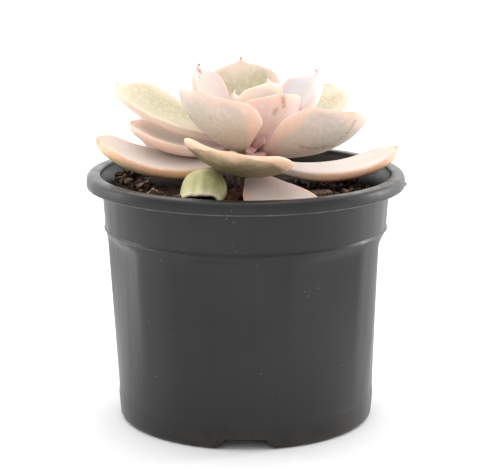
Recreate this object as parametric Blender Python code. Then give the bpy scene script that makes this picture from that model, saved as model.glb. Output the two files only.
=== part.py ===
"""Potted succulent: a pale rosette on a short stem, growing in a round grey nursery pot.

Lengths in the constants are millimetres, angles are degrees. The pot stands on z = 0 with its
axis on +Z, and -Y is the side the plant is usually seen from. Azimuth 0 points along +X and
grows anticlockwise seen from above.
"""

import collections
import functools
import math

import bmesh
import bpy

# Pot, outside
POT_HEIGHT = 82.5
LIP_RADIUS = 52.5
LIP_DEPTH = 4.1
LIP_OVERHANG = 5.1
COLLAR_HEIGHT = 14.0
LEDGE_STEP = 0.5
TAPER = 5.0
FOOT_HEIGHT = 8.0
FOOT_STEP = 0.3
BASE_ROUNDING = 2.5

# Pot, inside
LIP_WIDTH = 4.7
WALL = 1.2
FLOOR_RISE = 4.2
FLOOR_THICKNESS = 1.5
FOOT_WIDTH = 5.0

# Seven shallow panels below the collar, with plain ribs between them
PANEL_COUNT = 7
PANEL_SHARE = 0.68
PANEL_DEPTH = 1.8
PANEL_TURN = 23.8

# Drainage
NOTCH_COUNT = 4
NOTCH_WIDTH = 14.5
NOTCH_HEIGHT = 3.7
NOTCH_FLARE = 3.6
DRAIN_RADIUS = 4.5
DRAIN_INSET = 10.4

# Soil and stem
SOIL_DROP = 7.5
SOIL_BUMP = 0.8
GAP = 0.3
STEM_FOOT_RADIUS = 7.0
STEM_LENGTH = 22.6
STEM_SHAPE = ((1.0, 0.0), (0.9, 0.25), (0.78, 0.42), (0.62, 0.58), (0.43, 0.76), (0.14, 1.0))

# Rosette: the leaves are drawn for one mouth and scale with it, and with ROSETTE_SCALE. The whole
# crown rises if the undersides of the leaves that hang over the lip would come too near to it.
ROSETTE_SCALE = 1.0
DRAWN_MOUTH = 47.8
LIP_CLEARANCE = 0.8

# How full a leaf's section is: 1 is an ellipse, less gives thick round margins
SECTION_FULLNESS = 0.6
ROSETTE_X = 1.5
ROSETTE_Y = 3.0

# Mesh fineness
POT_SIDES = 84
SOIL_SIDES = 48
STEM_SIDES = 16
LEAF_STATIONS = 8
LEAF_SIDES = 12

Leaf = collections.namedtuple(
    "Leaf",
    "name azimuth height clear pitch_foot pitch_tip length half_width thickness cup roll"
    " widest foot_share blunt spike",
)

# Height is that of the foot's middle above the soil, clear is its distance from the stem's side.
# Pitch is the rise of the midrib at its foot and at its tip. Cup is how far the margins curl up,
# as a share of the half width.
LEAVES = (
    Leaf("leaf_outer_right", 4, 9, 1.72, -18, 40, 44, 11.5, 4.2, 0.12, -2, 0.66, 0.34, 3, 0.8),
    Leaf("leaf_outer_left", 192, 10.5, 2.09, -12, 42, 46.5, 13.5, 4.5, 0.16, -6, 0.66, 0.3, 3.4, 0.6),
    Leaf("leaf_outer_back_left", 141, 9.5, 1.84, -8, 30, 40, 10.2, 4.3, 0.25, 0, 0.66, 0.3, 2.6, 2),
    Leaf("leaf_outer_back", 91, 9.5, 1.84, -6, 32, 40, 12.5, 4.5, 0.25, 0, 0.66, 0.30, 2.6, 2.2),
    Leaf("leaf_outer_droop", -73, 6, 1.6, -3, -8, 36, 12, 3.2, 0.08, 0, 0.66, 0.30, 2.6, 1.5),
    Leaf("leaf_front", -98, 11.5, 1.42, -2, 34, 41, 17.5, 4.5, 0.25, -10, 0.66, 0.25, 2.6, 0.8),
    Leaf("leaf_left_low", 171, 14.5, 1.94, -8, 40, 36.5, 12, 4.0, 0.25, -4, 0.66, 0.30, 2.6, 1.0),
    Leaf("leaf_left_high", 164.5, 17.7, 3.06, 7.5, 42, 43.5, 12.3, 4.0, 0.22, -8, 0.72, 0.24, 2.6, 1),
    Leaf("leaf_right_front", -41, 14.5, 2.43, 6, 48, 41, 15, 4.5, 0.30, -18, 0.66, 0.22, 2.6, 2.2),
    Leaf("leaf_right_back", 50, 12.5, 1.25, 14, 44, 41, 15.5, 4.0, 0.22, 0, 0.66, 0.28, 3.2, 2.2),
    Leaf("leaf_back_mid", 114, 14, 1.75, 12, 48, 33, 10.5, 4.5, 0.30, 0, 0.66, 0.28, 2.6, 2.2),
    Leaf("leaf_inner_right", 20, 16, 1.45, 30, 75, 29.5, 13.5, 4.5, 0.35, 0, 0.66, 0.28, 2.6, 2.2),
    Leaf("leaf_inner_front", -127, 16, 1.95, 20, 72, 32, 17.2, 4.5, 0.35, -12, 0.68, 0.22, 2.6, 2.2),
    Leaf("leaf_inner_front_right", -58, 17.2, 1.07, 30, 78, 23.5, 11.6, 4, 0.35, 0, 0.66, 0.28, 2.6, 2),
    Leaf("leaf_inner_back", 99, 17.8, 1.3, 38, 74, 28.5, 12.5, 4, 0.30, 0, 0.66, 0.28, 2.6, 2.2),
    Leaf("leaf_inner_left", 172, 19.4, 1.74, 40, 80, 25.5, 8.8, 3.5, 0.30, -20, 0.66, 0.34, 2.6, 2.2),
    Leaf("leaf_bud_front", -48, 19.8, 1.1, 60, 86, 18.5, 9.5, 3, 0.35, 0, 0.66, 0.34, 2.6, 2.2),
    Leaf("leaf_bud_left", 200, 20.9, 0.74, 66, 86, 12.5, 5.8, 2.6, 0.3, 0, 0.66, 0.34, 2.6, 1.6),
    Leaf("leaf_bud_back", 75, 20.8, 1.3, 60, 85, 12.5, 6.8, 2.8, 0.30, 0, 0.66, 0.34, 2.6, 1.6),
    Leaf("leaf_bud_core_a", 134, 23.1, 0.92, 76, 88, 8, 3, 1.8, 0.30, 0, 0.66, 0.34, 2.6, 1.2),
    Leaf("leaf_bud_core_b", 5, 22.5, 1.18, 68, 88, 9, 4, 2, 0.30, 0, 0.66, 0.34, 2.6, 1.2),
    Leaf("leaf_bud_core_c", -106, 23.5, 0.92, 78, 88, 7.5, 3, 1.7, 0.30, 0, 0.66, 0.34, 2.6, 1.2),
    Leaf("leaf_small_front", -82, 14.2, 1.39, 0, 6, 11.5, 3.6, 1.6, 0.15, 0, 0.66, 0.34, 2.6, 0.8),
)

# Leaves that lie inside the mouth end this far from its wall, whatever their drawn length
WALL_CLEARANCE = {"leaf_outer_droop": 2.55}

# The old leaf whose end tore off, and a dried one beside it, low on the stem
STUMP = Leaf("leaf_stump", -128, 5.6, 4.04, 2, -4, 23, 7.2, 7.0, -0.3, 0, 0.8, 0.45, 8, 0)
DRIED = Leaf("leaf_dried", -104, 4.2, 2.86, 0, -6, 23, 2.6, 1.2, 0.2, 0, 0.66, 0.34, 2.6, 0)

GREY_PLASTIC = ((0.045, 0.046, 0.05), 0.42)
SOIL_BROWN = ((0.035, 0.022, 0.015), 0.95)
STEM_BROWN = ((0.2, 0.14, 0.09), 0.8)
LEAF_PALE = ((0.80, 0.63, 0.55), 0.5)
LEAF_OLD = ((0.52, 0.52, 0.2), 0.6)
LEAF_DRIED = ((0.16, 0.07, 0.04), 0.8)
BARK_BROWN = ((0.13, 0.07, 0.04), 0.85)


def collar_radius():
    """Outer radius of the wall just under the lip."""
    return LIP_RADIUS - LIP_OVERHANG


def base_radius():
    """Outer radius of the wall at the base."""
    return collar_radius() - TAPER


def mouth_radius():
    """Inner radius of the lip."""
    return LIP_RADIUS - LIP_WIDTH


def soil_level():
    """Height of the soil's mean surface above the table."""
    return POT_HEIGHT - SOIL_DROP


def inner_radius(z):
    """Inner radius of the pot at height z, below the lip."""
    return wall_radius(z) - LEDGE_STEP - PANEL_DEPTH - WALL


def soil_radius():
    """Inner radius of the pot's wall at the soil's surface."""
    return inner_radius(soil_level())


def crown_scale():
    """How much larger the rosette is than it is drawn."""
    return ROSETTE_SCALE * mouth_radius() / DRAWN_MOUTH


@functools.lru_cache(maxsize=None)
def crown_lift():
    """How far the crown rises for every leaf that passes over the lip to clear it."""
    lift = 0.0
    for leaf in LEAVES:
        if leaf.name in WALL_CLEARANCE:
            continue
        midrib = leaf_midrib(leaf, 0.0)
        for i in range(4 * LEAF_STATIONS):
            for x, y, z in leaf_ring(leaf, midrib, i / (4 * LEAF_STATIONS)):
                if mouth_radius() - 1.0 < math.hypot(x, y) < LIP_RADIUS + 1.0:
                    lift = max(lift, POT_HEIGHT + LIP_CLEARANCE - z)
    return lift


def clear_scene():
    """Remove every object of the start-up file."""
    for obj in list(bpy.data.objects):
        bpy.data.objects.remove(obj, do_unlink=True)


def make_material(name, finish):
    """A plain surface with a colour and a roughness."""
    colour, roughness = finish
    material = bpy.data.materials.new(name)
    material.use_nodes = True
    shader = material.node_tree.nodes["Principled BSDF"]
    shader.inputs["Base Color"].default_value = (*colour, 1.0)
    shader.inputs["Roughness"].default_value = roughness
    return material


def make_node(name, mesh_builder, finish):
    """Turn a bmesh in millimetres into one named object in metres."""
    for vert in mesh_builder.verts:
        vert.co *= 0.001
    bmesh.ops.recalc_face_normals(mesh_builder, faces=mesh_builder.faces[:])
    mesh = bpy.data.meshes.new(name)
    mesh_builder.to_mesh(mesh)
    mesh_builder.free()
    mesh.materials.append(make_material(name + "_finish", finish))
    obj = bpy.data.objects.new(name, mesh)
    bpy.context.scene.collection.objects.link(obj)
    return obj


def bridge_rings(builder, rings):
    """Join rings of vertices, given in order, with four-sided faces."""
    for lower, upper in zip(rings, rings[1:]):
        count = len(lower)
        for i in range(count):
            j = (i + 1) % count
            builder.faces.new((lower[i], lower[j], upper[j], upper[i]))


def ring_of_points(builder, points):
    """Add one ring of vertices."""
    return [builder.verts.new(point) for point in points]


def fan_cap(builder, ring, centre):
    """Close a ring with triangles round a centre point."""
    hub = builder.verts.new(centre)
    count = len(ring)
    for i in range(count):
        builder.faces.new((ring[i], ring[(i + 1) % count], hub))


def wall_radius(z):
    """Outer radius of the collar and of the foot, on one cone, at height z."""
    top = POT_HEIGHT - LIP_DEPTH
    share = (z - BASE_ROUNDING) / (top - BASE_ROUNDING)
    return base_radius() + TAPER * share


def panel_cut(angle, z):
    """How far the panelled wall lies inside that cone at this angle and height."""
    ledge = POT_HEIGHT - LIP_DEPTH - COLLAR_HEIGHT
    step = 360.0 / PANEL_COUNT
    turn = (math.degrees(angle) - PANEL_TURN) % step - step / 2
    across = max(0.0, 1.0 - (2.0 * turn / (PANEL_SHARE * step)) ** 2)
    rise = min(1.0, max(0.0, (z - FOOT_HEIGHT) / (ledge - FOOT_HEIGHT)))
    return FOOT_STEP + (LEDGE_STEP - FOOT_STEP) * rise + PANEL_DEPTH * across * rise


def pot_profile():
    """Radius, height and panel share of each ring, from the floor's underside round to its top."""
    top = POT_HEIGHT
    under = top - LIP_DEPTH
    ledge = under - COLLAR_HEIGHT
    foot = base_radius() - FOOT_WIDTH
    edge = LIP_RADIUS
    mouth = mouth_radius()
    rounding = BASE_ROUNDING
    inner_top = mouth - 2.0
    floor_top = FLOOR_RISE + FLOOR_THICKNESS
    middle = 0.5 * (FOOT_HEIGHT + ledge)
    return (
        (foot, FLOOR_RISE, 0),
        (foot + 0.3, 0.0, 0),
        (base_radius() - rounding, 0.0, 0),
        (base_radius() - 0.3 * rounding, 0.3 * rounding, 0),
        (wall_radius(rounding), rounding, 0),
        (wall_radius(FOOT_HEIGHT), FOOT_HEIGHT, 0),
        (wall_radius(FOOT_HEIGHT + 1.2), FOOT_HEIGHT + 1.2, 1),
        (wall_radius(middle), middle, 1),
        (wall_radius(ledge - 1.0), ledge - 1.0, 1),
        (wall_radius(ledge), ledge, 0),
        (wall_radius(under) - 0.2, under - 0.4, 0),
        (wall_radius(under) + 0.2, under, 0),
        (edge - 0.5, under, 0),
        (edge, under + 0.25 * LIP_DEPTH, 0),
        (edge, under + 0.55 * LIP_DEPTH, 0),
        (edge - 0.7, top - 0.6, 0),
        (edge - 2.2, top, 0),
        (mouth + 1.4, top, 0),
        (mouth + 0.3, top - 0.5, 0),
        (mouth, top - 1.4, 0),
        (inner_top, under - 0.8, 0),
        (inner_radius(ledge + 1.6), ledge + 1.6, 0),
        (inner_radius(floor_top), floor_top, 0),
    )


def build_pot():
    """The moulded pot: foot ring, panelled wall, collar, rolled lip, floor and drain openings."""
    builder = bmesh.new()
    rings = []
    for radius, z, panelled in pot_profile():
        points = []
        for i in range(POT_SIDES):
            angle = 2 * math.pi * i / POT_SIDES
            r = radius - panelled * panel_cut(angle, z)
            points.append((r * math.cos(angle), r * math.sin(angle), z))
        rings.append(ring_of_points(builder, points))
    bridge_rings(builder, rings)
    builder.faces.new(rings[0])
    builder.faces.new(rings[-1])
    pot = make_node("pot", builder, GREY_PLASTIC)
    for i in range(NOTCH_COUNT):
        angle = math.radians(-90 + 360.0 / NOTCH_COUNT * i)
        cut_from(pot, notch_cutter(i, angle))
        cut_from(pot, drain_cutter(i, angle))
    return pot


def notch_cutter(index, angle):
    """A block with flared sides that opens one drain notch in the foot ring."""
    builder = bmesh.new()
    near = base_radius() - FOOT_WIDTH - 1.0
    far = base_radius() + 2.0
    half = 0.5 * NOTCH_WIDTH
    side = (
        (half + NOTCH_FLARE, -1.0),
        (half + 0.45 * NOTCH_FLARE, 0.15 * NOTCH_HEIGHT),
        (half + 0.15 * NOTCH_FLARE, 0.45 * NOTCH_HEIGHT),
        (half, NOTCH_HEIGHT),
    )
    outline = side + tuple((-across, z) for across, z in reversed(side))
    rings = []
    for r in (near, far):
        points = [turned(r, across, z, angle) for across, z in outline]
        rings.append(ring_of_points(builder, points))
    bridge_rings(builder, rings)
    builder.faces.new(rings[0])
    builder.faces.new(rings[1])
    return make_node("cutter_notch_%d" % index, builder, GREY_PLASTIC)


def drain_cutter(index, angle):
    """A short cylinder that opens one drain hole in the floor."""
    builder = bmesh.new()
    rings = []
    circle = base_radius() - FOOT_WIDTH - DRAIN_INSET
    for z in (FLOOR_RISE - 1.0, FLOOR_RISE + FLOOR_THICKNESS + 1.0):
        points = []
        for k in range(16):
            phase = 2 * math.pi * k / 16
            along = circle + DRAIN_RADIUS * math.cos(phase)
            points.append(turned(along, DRAIN_RADIUS * math.sin(phase), z, angle))
        rings.append(ring_of_points(builder, points))
    bridge_rings(builder, rings)
    builder.faces.new(rings[0])
    builder.faces.new(rings[1])
    return make_node("cutter_drain_%d" % index, builder, GREY_PLASTIC)


def turned(along, across, z, angle):
    """A point given along and across a direction in the plane."""
    x = along * math.cos(angle) - across * math.sin(angle)
    y = along * math.sin(angle) + across * math.cos(angle)
    return (x, y, z)


def cut_from(body, cutter):
    """Subtract a hidden cutter from a body."""
    cutter.hide_render = True
    cutter.display_type = "WIRE"
    modifier = body.modifiers.new(cutter.name, "BOOLEAN")
    modifier.operation = "DIFFERENCE"
    modifier.solver = "EXACT"
    modifier.object = cutter


def soil_height(x, y):
    """The uneven soil surface."""
    wave = math.sin(0.31 * x + 0.7) * math.cos(0.27 * y - 0.4)
    ripple = 0.5 * math.sin(0.62 * x - 0.5 * y + 1.1)
    return soil_level() + SOIL_BUMP * (wave + ripple)


def build_soil():
    """The potting mix: a plug that fills the pot up to its uneven top."""
    builder = bmesh.new()
    bottom = FLOOR_RISE + FLOOR_THICKNESS + GAP
    low_radius = inner_radius(bottom) - GAP - 0.1
    high_radius = soil_radius() - GAP - 0.1
    outer_low = polar_ring(low_radius, lambda x, y: bottom)
    rings = [ring_of_points(builder, outer_low)]
    for share in (1.0, 0.8, 0.6, 0.4, 0.2):
        points = polar_ring(high_radius * share, soil_height)
        rings.append(ring_of_points(builder, points))
    bridge_rings(builder, rings)
    fan_cap(builder, rings[0], (0, 0, bottom))
    fan_cap(builder, rings[-1], (0, 0, soil_height(0, 0)))
    return make_node("soil", builder, SOIL_BROWN)


def polar_ring(radius, height):
    """Points on a circle whose height is a function of x and y."""
    points = []
    for i in range(SOIL_SIDES):
        angle = 2 * math.pi * i / SOIL_SIDES
        x = radius * math.cos(angle)
        y = radius * math.sin(angle)
        points.append((x, y, height(x, y)))
    return points


def stem_foot():
    """Height of the stem's foot above the soil's mean surface."""
    return SOIL_BUMP * 1.5 + GAP


def stem_radius(height):
    """Radius of the stem at a drawn height above the soil."""
    place = (height - stem_foot()) / (STEM_LENGTH - stem_foot())
    place = min(1.0, max(0.0, place))
    for (low_share, low), (high_share, high) in zip(STEM_SHAPE, STEM_SHAPE[1:]):
        if place <= high:
            share = low_share + (high_share - low_share) * (place - low) / (high - low)
            break
    return STEM_FOOT_RADIUS * share


def build_stem():
    """The short tapering stem that carries every leaf."""
    builder = bmesh.new()
    scale = crown_scale()
    rings = []
    for share, rise in STEM_SHAPE:
        r = STEM_FOOT_RADIUS * scale * share
        drawn = stem_foot() + (STEM_LENGTH - stem_foot()) * rise
        z = soil_level() + (crown_lift() + scale * drawn if rise else stem_foot())
        points = []
        for i in range(STEM_SIDES):
            angle = 2 * math.pi * i / STEM_SIDES
            points.append((ROSETTE_X + r * math.cos(angle), ROSETTE_Y + r * math.sin(angle), z))
        rings.append(ring_of_points(builder, points))
    bridge_rings(builder, rings)
    fan_cap(builder, rings[0], (ROSETTE_X, ROSETTE_Y, soil_level() + stem_foot()))
    fan_cap(builder, rings[-1], (ROSETTE_X, ROSETTE_Y, z))
    return make_node("stem", builder, STEM_BROWN)


def width_share(leaf, along):
    """Half width at a station, as a share of the leaf's greatest half width."""
    if along <= leaf.widest:
        rise = math.sin(0.5 * math.pi * along / leaf.widest) ** 1.25
        return leaf.foot_share + (1.0 - leaf.foot_share) * rise
    past = (along - leaf.widest) / (1.0 - leaf.widest)
    return max(0.0, 1.0 - past**leaf.blunt) ** 0.59


def thickness_share(along):
    """Thickness at a station, as a share of the leaf's greatest thickness."""
    swell = 0.75 + 0.25 * math.sin(0.5 * math.pi * min(along / 0.6, 1.0))
    share = swell * (1.0 - 0.55 * along**3)
    if along > 0.8:
        share *= max(0.25, 1.0 - 0.6 * ((along - 0.8) / 0.2) ** 2)
    return share


def leaf_frame(leaf, along):
    """Unit vectors along the midrib, across the blade and out of its upper face."""
    pitch = math.radians(leaf.pitch_foot + (leaf.pitch_tip - leaf.pitch_foot) * along**1.3)
    turn = math.radians(leaf.azimuth)
    roll = math.radians(leaf.roll)
    forward = (math.cos(pitch) * math.cos(turn), math.cos(pitch) * math.sin(turn), math.sin(pitch))
    side = (-math.sin(turn), math.cos(turn), 0.0)
    up = (
        -math.sin(pitch) * math.cos(turn),
        -math.sin(pitch) * math.sin(turn),
        math.cos(pitch),
    )
    side_rolled = mix(side, up, math.cos(roll), math.sin(roll))
    up_rolled = mix(up, side, math.cos(roll), -math.sin(roll))
    return forward, side_rolled, up_rolled


def mix(a, b, share_a, share_b):
    """A weighted sum of two vectors."""
    return tuple(share_a * p + share_b * q for p, q in zip(a, b))


def move(point, direction, distance):
    """A point moved along a direction."""
    return tuple(p + distance * d for p, d in zip(point, direction))


def leaf_foot(leaf, lift):
    """The middle of a leaf's foot, with the crown raised by this much."""
    turn = math.radians(leaf.azimuth)
    scale = crown_scale()
    offset = scale * (stem_radius(leaf.height) + leaf.clear)
    return (
        ROSETTE_X + offset * math.cos(turn),
        ROSETTE_Y + offset * math.sin(turn),
        soil_level() + lift + scale * leaf.height,
    )


def leaf_length(leaf):
    """A leaf's length, which the pot's wall sets for a leaf that lies inside the mouth."""
    if leaf.name not in WALL_CLEARANCE:
        return crown_scale() * leaf.length
    x, y, _ = leaf_foot(leaf, 0.0)
    turn = math.radians(leaf.azimuth)
    outward = x * math.cos(turn) + y * math.sin(turn)
    reach = math.sqrt(outward**2 - x**2 - y**2 + soil_radius() ** 2) - outward
    return reach - WALL_CLEARANCE[leaf.name]


def leaf_midrib(leaf, lift, steps=60):
    """Points along the midrib, from the stem to the tip, with the crown raised by this much."""
    length = leaf_length(leaf)
    point = leaf_foot(leaf, lift)
    points = [point]
    for i in range(steps):
        forward = leaf_frame(leaf, i / steps)[0]
        point = move(point, forward, length / steps)
        points.append(point)
    return points


def leaf_ring(leaf, midrib, along):
    """The leaf's cross-section at one station."""
    place = along * (len(midrib) - 1)
    index = min(int(place), len(midrib) - 2)
    rest = place - index
    centre = mix(midrib[index], midrib[index + 1], 1.0 - rest, rest)
    _, side, up = leaf_frame(leaf, round(place) / (len(midrib) - 1))
    half = crown_scale() * leaf.half_width * width_share(leaf, along)
    thick = crown_scale() * leaf.thickness * thickness_share(along)
    curl = leaf.cup * half * (0.3 + 0.7 * min(1.0, along / 0.5))
    points = []
    for k in range(LEAF_SIDES):
        phase = 2 * math.pi * k / LEAF_SIDES
        across = math.cos(phase)
        lift = math.sin(phase)
        share = 0.38 if lift > 0 else 0.62
        rise = curl * across * across
        rise += thick * share * math.copysign(abs(lift) ** SECTION_FULLNESS, lift)
        points.append(move(move(centre, side, half * across), up, rise))
    return points


def build_leaf(leaf, finish=LEAF_PALE):
    """One fleshy leaf: narrow foot, broad cupped blade and a small pointed tip."""
    builder = bmesh.new()
    midrib = leaf_midrib(leaf, crown_lift())
    rings = []
    for i in range(LEAF_STATIONS):
        along = 1.0 - (1.0 - i / LEAF_STATIONS) ** 1.35
        rings.append(ring_of_points(builder, leaf_ring(leaf, midrib, along)))
    forward, side, up = leaf_frame(leaf, 1.0)
    scale = crown_scale()
    if leaf.spike:
        neck = move(midrib[-1], forward, -0.012 * leaf_length(leaf))
        rings.append(ring_of_points(builder, tip_ring(neck, side, up, 0.8 * scale)))
        point = move(move(midrib[-1], forward, 0.8 * scale * leaf.spike), up, 0.6 * scale * leaf.spike)
    else:
        point = midrib[-1]
    bridge_rings(builder, rings)
    fan_cap(builder, rings[0], midrib[0])
    fan_cap(builder, rings[-1], point)
    return make_node(leaf.name, builder, finish)


def tip_ring(centre, side, up, radius):
    """The small flat oval where the pointed tip starts."""
    points = []
    for k in range(LEAF_SIDES):
        phase = 2 * math.pi * k / LEAF_SIDES
        across = move(centre, side, 1.4 * radius * math.cos(phase))
        points.append(move(across, up, radius * math.sin(phase)))
    return points


def build_chip(name, inset, azimuth, length, width, height, turn, finish=BARK_BROWN):
    """A loose piece of bark or stalk lying on the soil, inset from the pot's wall."""
    builder = bmesh.new()
    angle = math.radians(turn)
    x, y, _ = turned(soil_radius() - inset, 0.0, 0.0, math.radians(azimuth))
    floor = soil_level() + stem_foot()
    shape = ((-0.5, 0.55), (-0.2, 1.0), (0.25, 0.85), (0.5, 0.4))
    rings = []
    for along, share in shape:
        centre = turned(along * length, 0.0, 0.0, angle)
        points = []
        for k in range(8):
            phase = 2 * math.pi * (k + 0.5) / 8
            lift = 0.5 * height * (1.0 + share * math.sin(phase))
            offset = turned(0.0, 0.5 * width * share * math.cos(phase), floor + lift, angle)
            points.append((x + centre[0] + offset[0], y + centre[1] + offset[1], offset[2]))
        rings.append(ring_of_points(builder, points))
    bridge_rings(builder, rings)
    builder.faces.new(rings[0])
    builder.faces.new(rings[-1])
    return make_node(name, builder, finish)


def main():
    """Build every node of the potted succulent."""
    clear_scene()
    build_pot()
    build_soil()
    build_stem()
    for leaf in LEAVES:
        build_leaf(leaf)
    build_leaf(STUMP, LEAF_OLD)
    build_leaf(DRIED, LEAF_DRIED)
    build_chip("bark_chip", 14.77, -35.31, 9.0, 4.5, 3.0, 10.0)
    build_chip("dry_stalk_a", 6.32, 167.8, 13.0, 1.6, 1.4, 75.0)
    build_chip("dry_stalk_b", 11.93, 187.125, 11.0, 1.4, 1.2, 140.0)


main()
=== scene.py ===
"""Looks of a pale rosette succulent in a round grey nursery pot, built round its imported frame.

Sizes are millimetres and degrees unless a name says otherwise. +Z is up, -Y faces the viewer,
azimuth 0 is along +X and grows anticlockwise seen from above.
"""

import enum
import logging
import math
import random
from collections.abc import Callable, Iterable, Sequence
from dataclasses import dataclass, field

import bmesh
import bpy
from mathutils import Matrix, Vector, noise


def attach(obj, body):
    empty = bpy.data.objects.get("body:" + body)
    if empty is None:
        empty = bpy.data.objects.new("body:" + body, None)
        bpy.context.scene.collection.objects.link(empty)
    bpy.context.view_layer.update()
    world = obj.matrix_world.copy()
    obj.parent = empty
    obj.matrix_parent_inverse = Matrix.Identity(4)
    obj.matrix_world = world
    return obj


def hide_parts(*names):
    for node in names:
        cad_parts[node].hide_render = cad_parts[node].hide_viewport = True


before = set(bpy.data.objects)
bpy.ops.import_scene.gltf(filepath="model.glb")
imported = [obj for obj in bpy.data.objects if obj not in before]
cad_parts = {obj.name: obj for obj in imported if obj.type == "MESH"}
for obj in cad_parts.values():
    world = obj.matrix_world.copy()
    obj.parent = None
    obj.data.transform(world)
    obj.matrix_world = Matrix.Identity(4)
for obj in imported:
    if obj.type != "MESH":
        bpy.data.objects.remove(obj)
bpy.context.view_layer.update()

LOG = logging.getLogger("potted_succulent")

MM = 0.001
BODY = "root"
SOIL_LEVEL = 75.0

Colour = tuple[float, float, float]
Socket = bpy.types.NodeSocket


# ---------------------------------------------------------------- small helpers


def smooth(low: float, high: float, value: float) -> float:
    """Smooth step from 0 at low to 1 at high."""
    share = min(1.0, max(0.0, (value - low) / (high - low)))
    return share * share * (3.0 - 2.0 * share)


def polar(radius: float, azimuth: float, z: float = 0.0) -> Vector:
    """Point at a radius and an azimuth in degrees."""
    angle = math.radians(azimuth)
    return Vector((radius * math.cos(angle), radius * math.sin(angle), z))


def deselect() -> None:
    """Leave edit mode and deselect every object."""
    if bpy.context.object is not None and bpy.context.object.mode != "OBJECT":
        bpy.ops.object.mode_set(mode="OBJECT")
    bpy.ops.object.select_all(action="DESELECT")


def pick(*pieces: bpy.types.Object) -> None:
    """Select some pieces and nothing else; the first is the active one."""
    deselect()
    for piece in pieces:
        piece.select_set(True)
    bpy.context.view_layer.objects.active = pieces[0]


def named(name: str) -> bpy.types.Object:
    """Name the object that an operator has just added, and its mesh.

    Args:
        name: The new name of both.

    Returns:
        The active object.
    """
    made = bpy.context.object
    made.name = name
    made.data.name = name
    return made


def settle(piece: bpy.types.Object) -> None:
    """Put a piece's place, turn and size into its mesh."""
    pick(piece)
    bpy.ops.object.transform_apply(location=True, rotation=True, scale=True)


def apply_all(piece: bpy.types.Object) -> None:
    """Apply every modifier of a piece in order."""
    pick(piece)
    for modifier in list(piece.modifiers):
        bpy.ops.object.modifier_apply(modifier=modifier.name)


def joined(pieces: Sequence[bpy.types.Object], name: str) -> bpy.types.Object:
    """Join pieces into one with a new name."""
    pick(*pieces)
    bpy.ops.object.join()
    whole = named(name)
    settle(whole)
    return whole


def cut_up(piece: bpy.types.Object, cuts: int) -> None:
    """Settle a piece and cut each of its edges a number of times."""
    settle(piece)
    bpy.ops.object.mode_set(mode="EDIT")
    bpy.ops.mesh.select_all(action="SELECT")
    bpy.ops.mesh.subdivide(number_cuts=cuts)
    bpy.ops.object.mode_set(mode="OBJECT")


def subdivide_surface(piece: bpy.types.Object, levels: int) -> None:
    """Smooth a piece with an applied subdivision surface."""
    modifier = piece.modifiers.new("smooth", "SUBSURF")
    modifier.levels = levels
    modifier.render_levels = levels
    apply_all(piece)


def shade(piece: bpy.types.Object, angle: float | None = None) -> None:
    """Shade a piece smooth, keeping edges sharper than an angle if one is given.

    Args:
        piece: The piece to shade.
        angle: Edges that turn more than this many degrees stay sharp.
    """
    pick(piece)
    if angle is None:
        bpy.ops.object.shade_smooth()
    else:
        bpy.ops.object.shade_smooth_by_angle(angle=math.radians(angle))


def face_outwards(piece: bpy.types.Object, merge: float = 0.0) -> None:
    """Merge doubles within a distance in metres and turn every face outwards."""
    pick(piece)
    bpy.ops.object.mode_set(mode="EDIT")
    bpy.ops.mesh.select_all(action="SELECT")
    if merge:
        bpy.ops.mesh.remove_doubles(threshold=merge)
    bpy.ops.mesh.normals_make_consistent(inside=False)
    bpy.ops.object.mode_set(mode="OBJECT")


def sculpt(piece: bpy.types.Object, move: Callable[[Vector], Vector]) -> None:
    """Move every vertex of a piece; the function takes and gives millimetres."""
    for vertex in piece.data.vertices:
        vertex.co = move(vertex.co / MM) * MM


def wobble(point: Vector, size: float, seed: float = 0.0) -> float:
    """Smooth noise between about -1 and 1, with lumps of a size in millimetres."""
    return noise.noise(point / size + Vector((seed, 1.7 * seed, -0.6 * seed)))


def hand_over(
    piece: bpy.types.Object,
    material: bpy.types.Material,
    nodes: Sequence[str] = (),
) -> bpy.types.Object:
    """Dress a finished piece and tie it to the frame.

    Args:
        piece: The finished piece.
        material: Its material.
        nodes: The frame's nodes that it stands for.

    Returns:
        The same piece.
    """
    piece.data.materials.clear()
    piece.data.materials.append(material)
    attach(piece, BODY)
    if nodes:
        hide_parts(*nodes)
    LOG.info("%s: %d faces", piece.name, len(piece.data.polygons))
    return piece


# ---------------------------------------------------------------- materials


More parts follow.
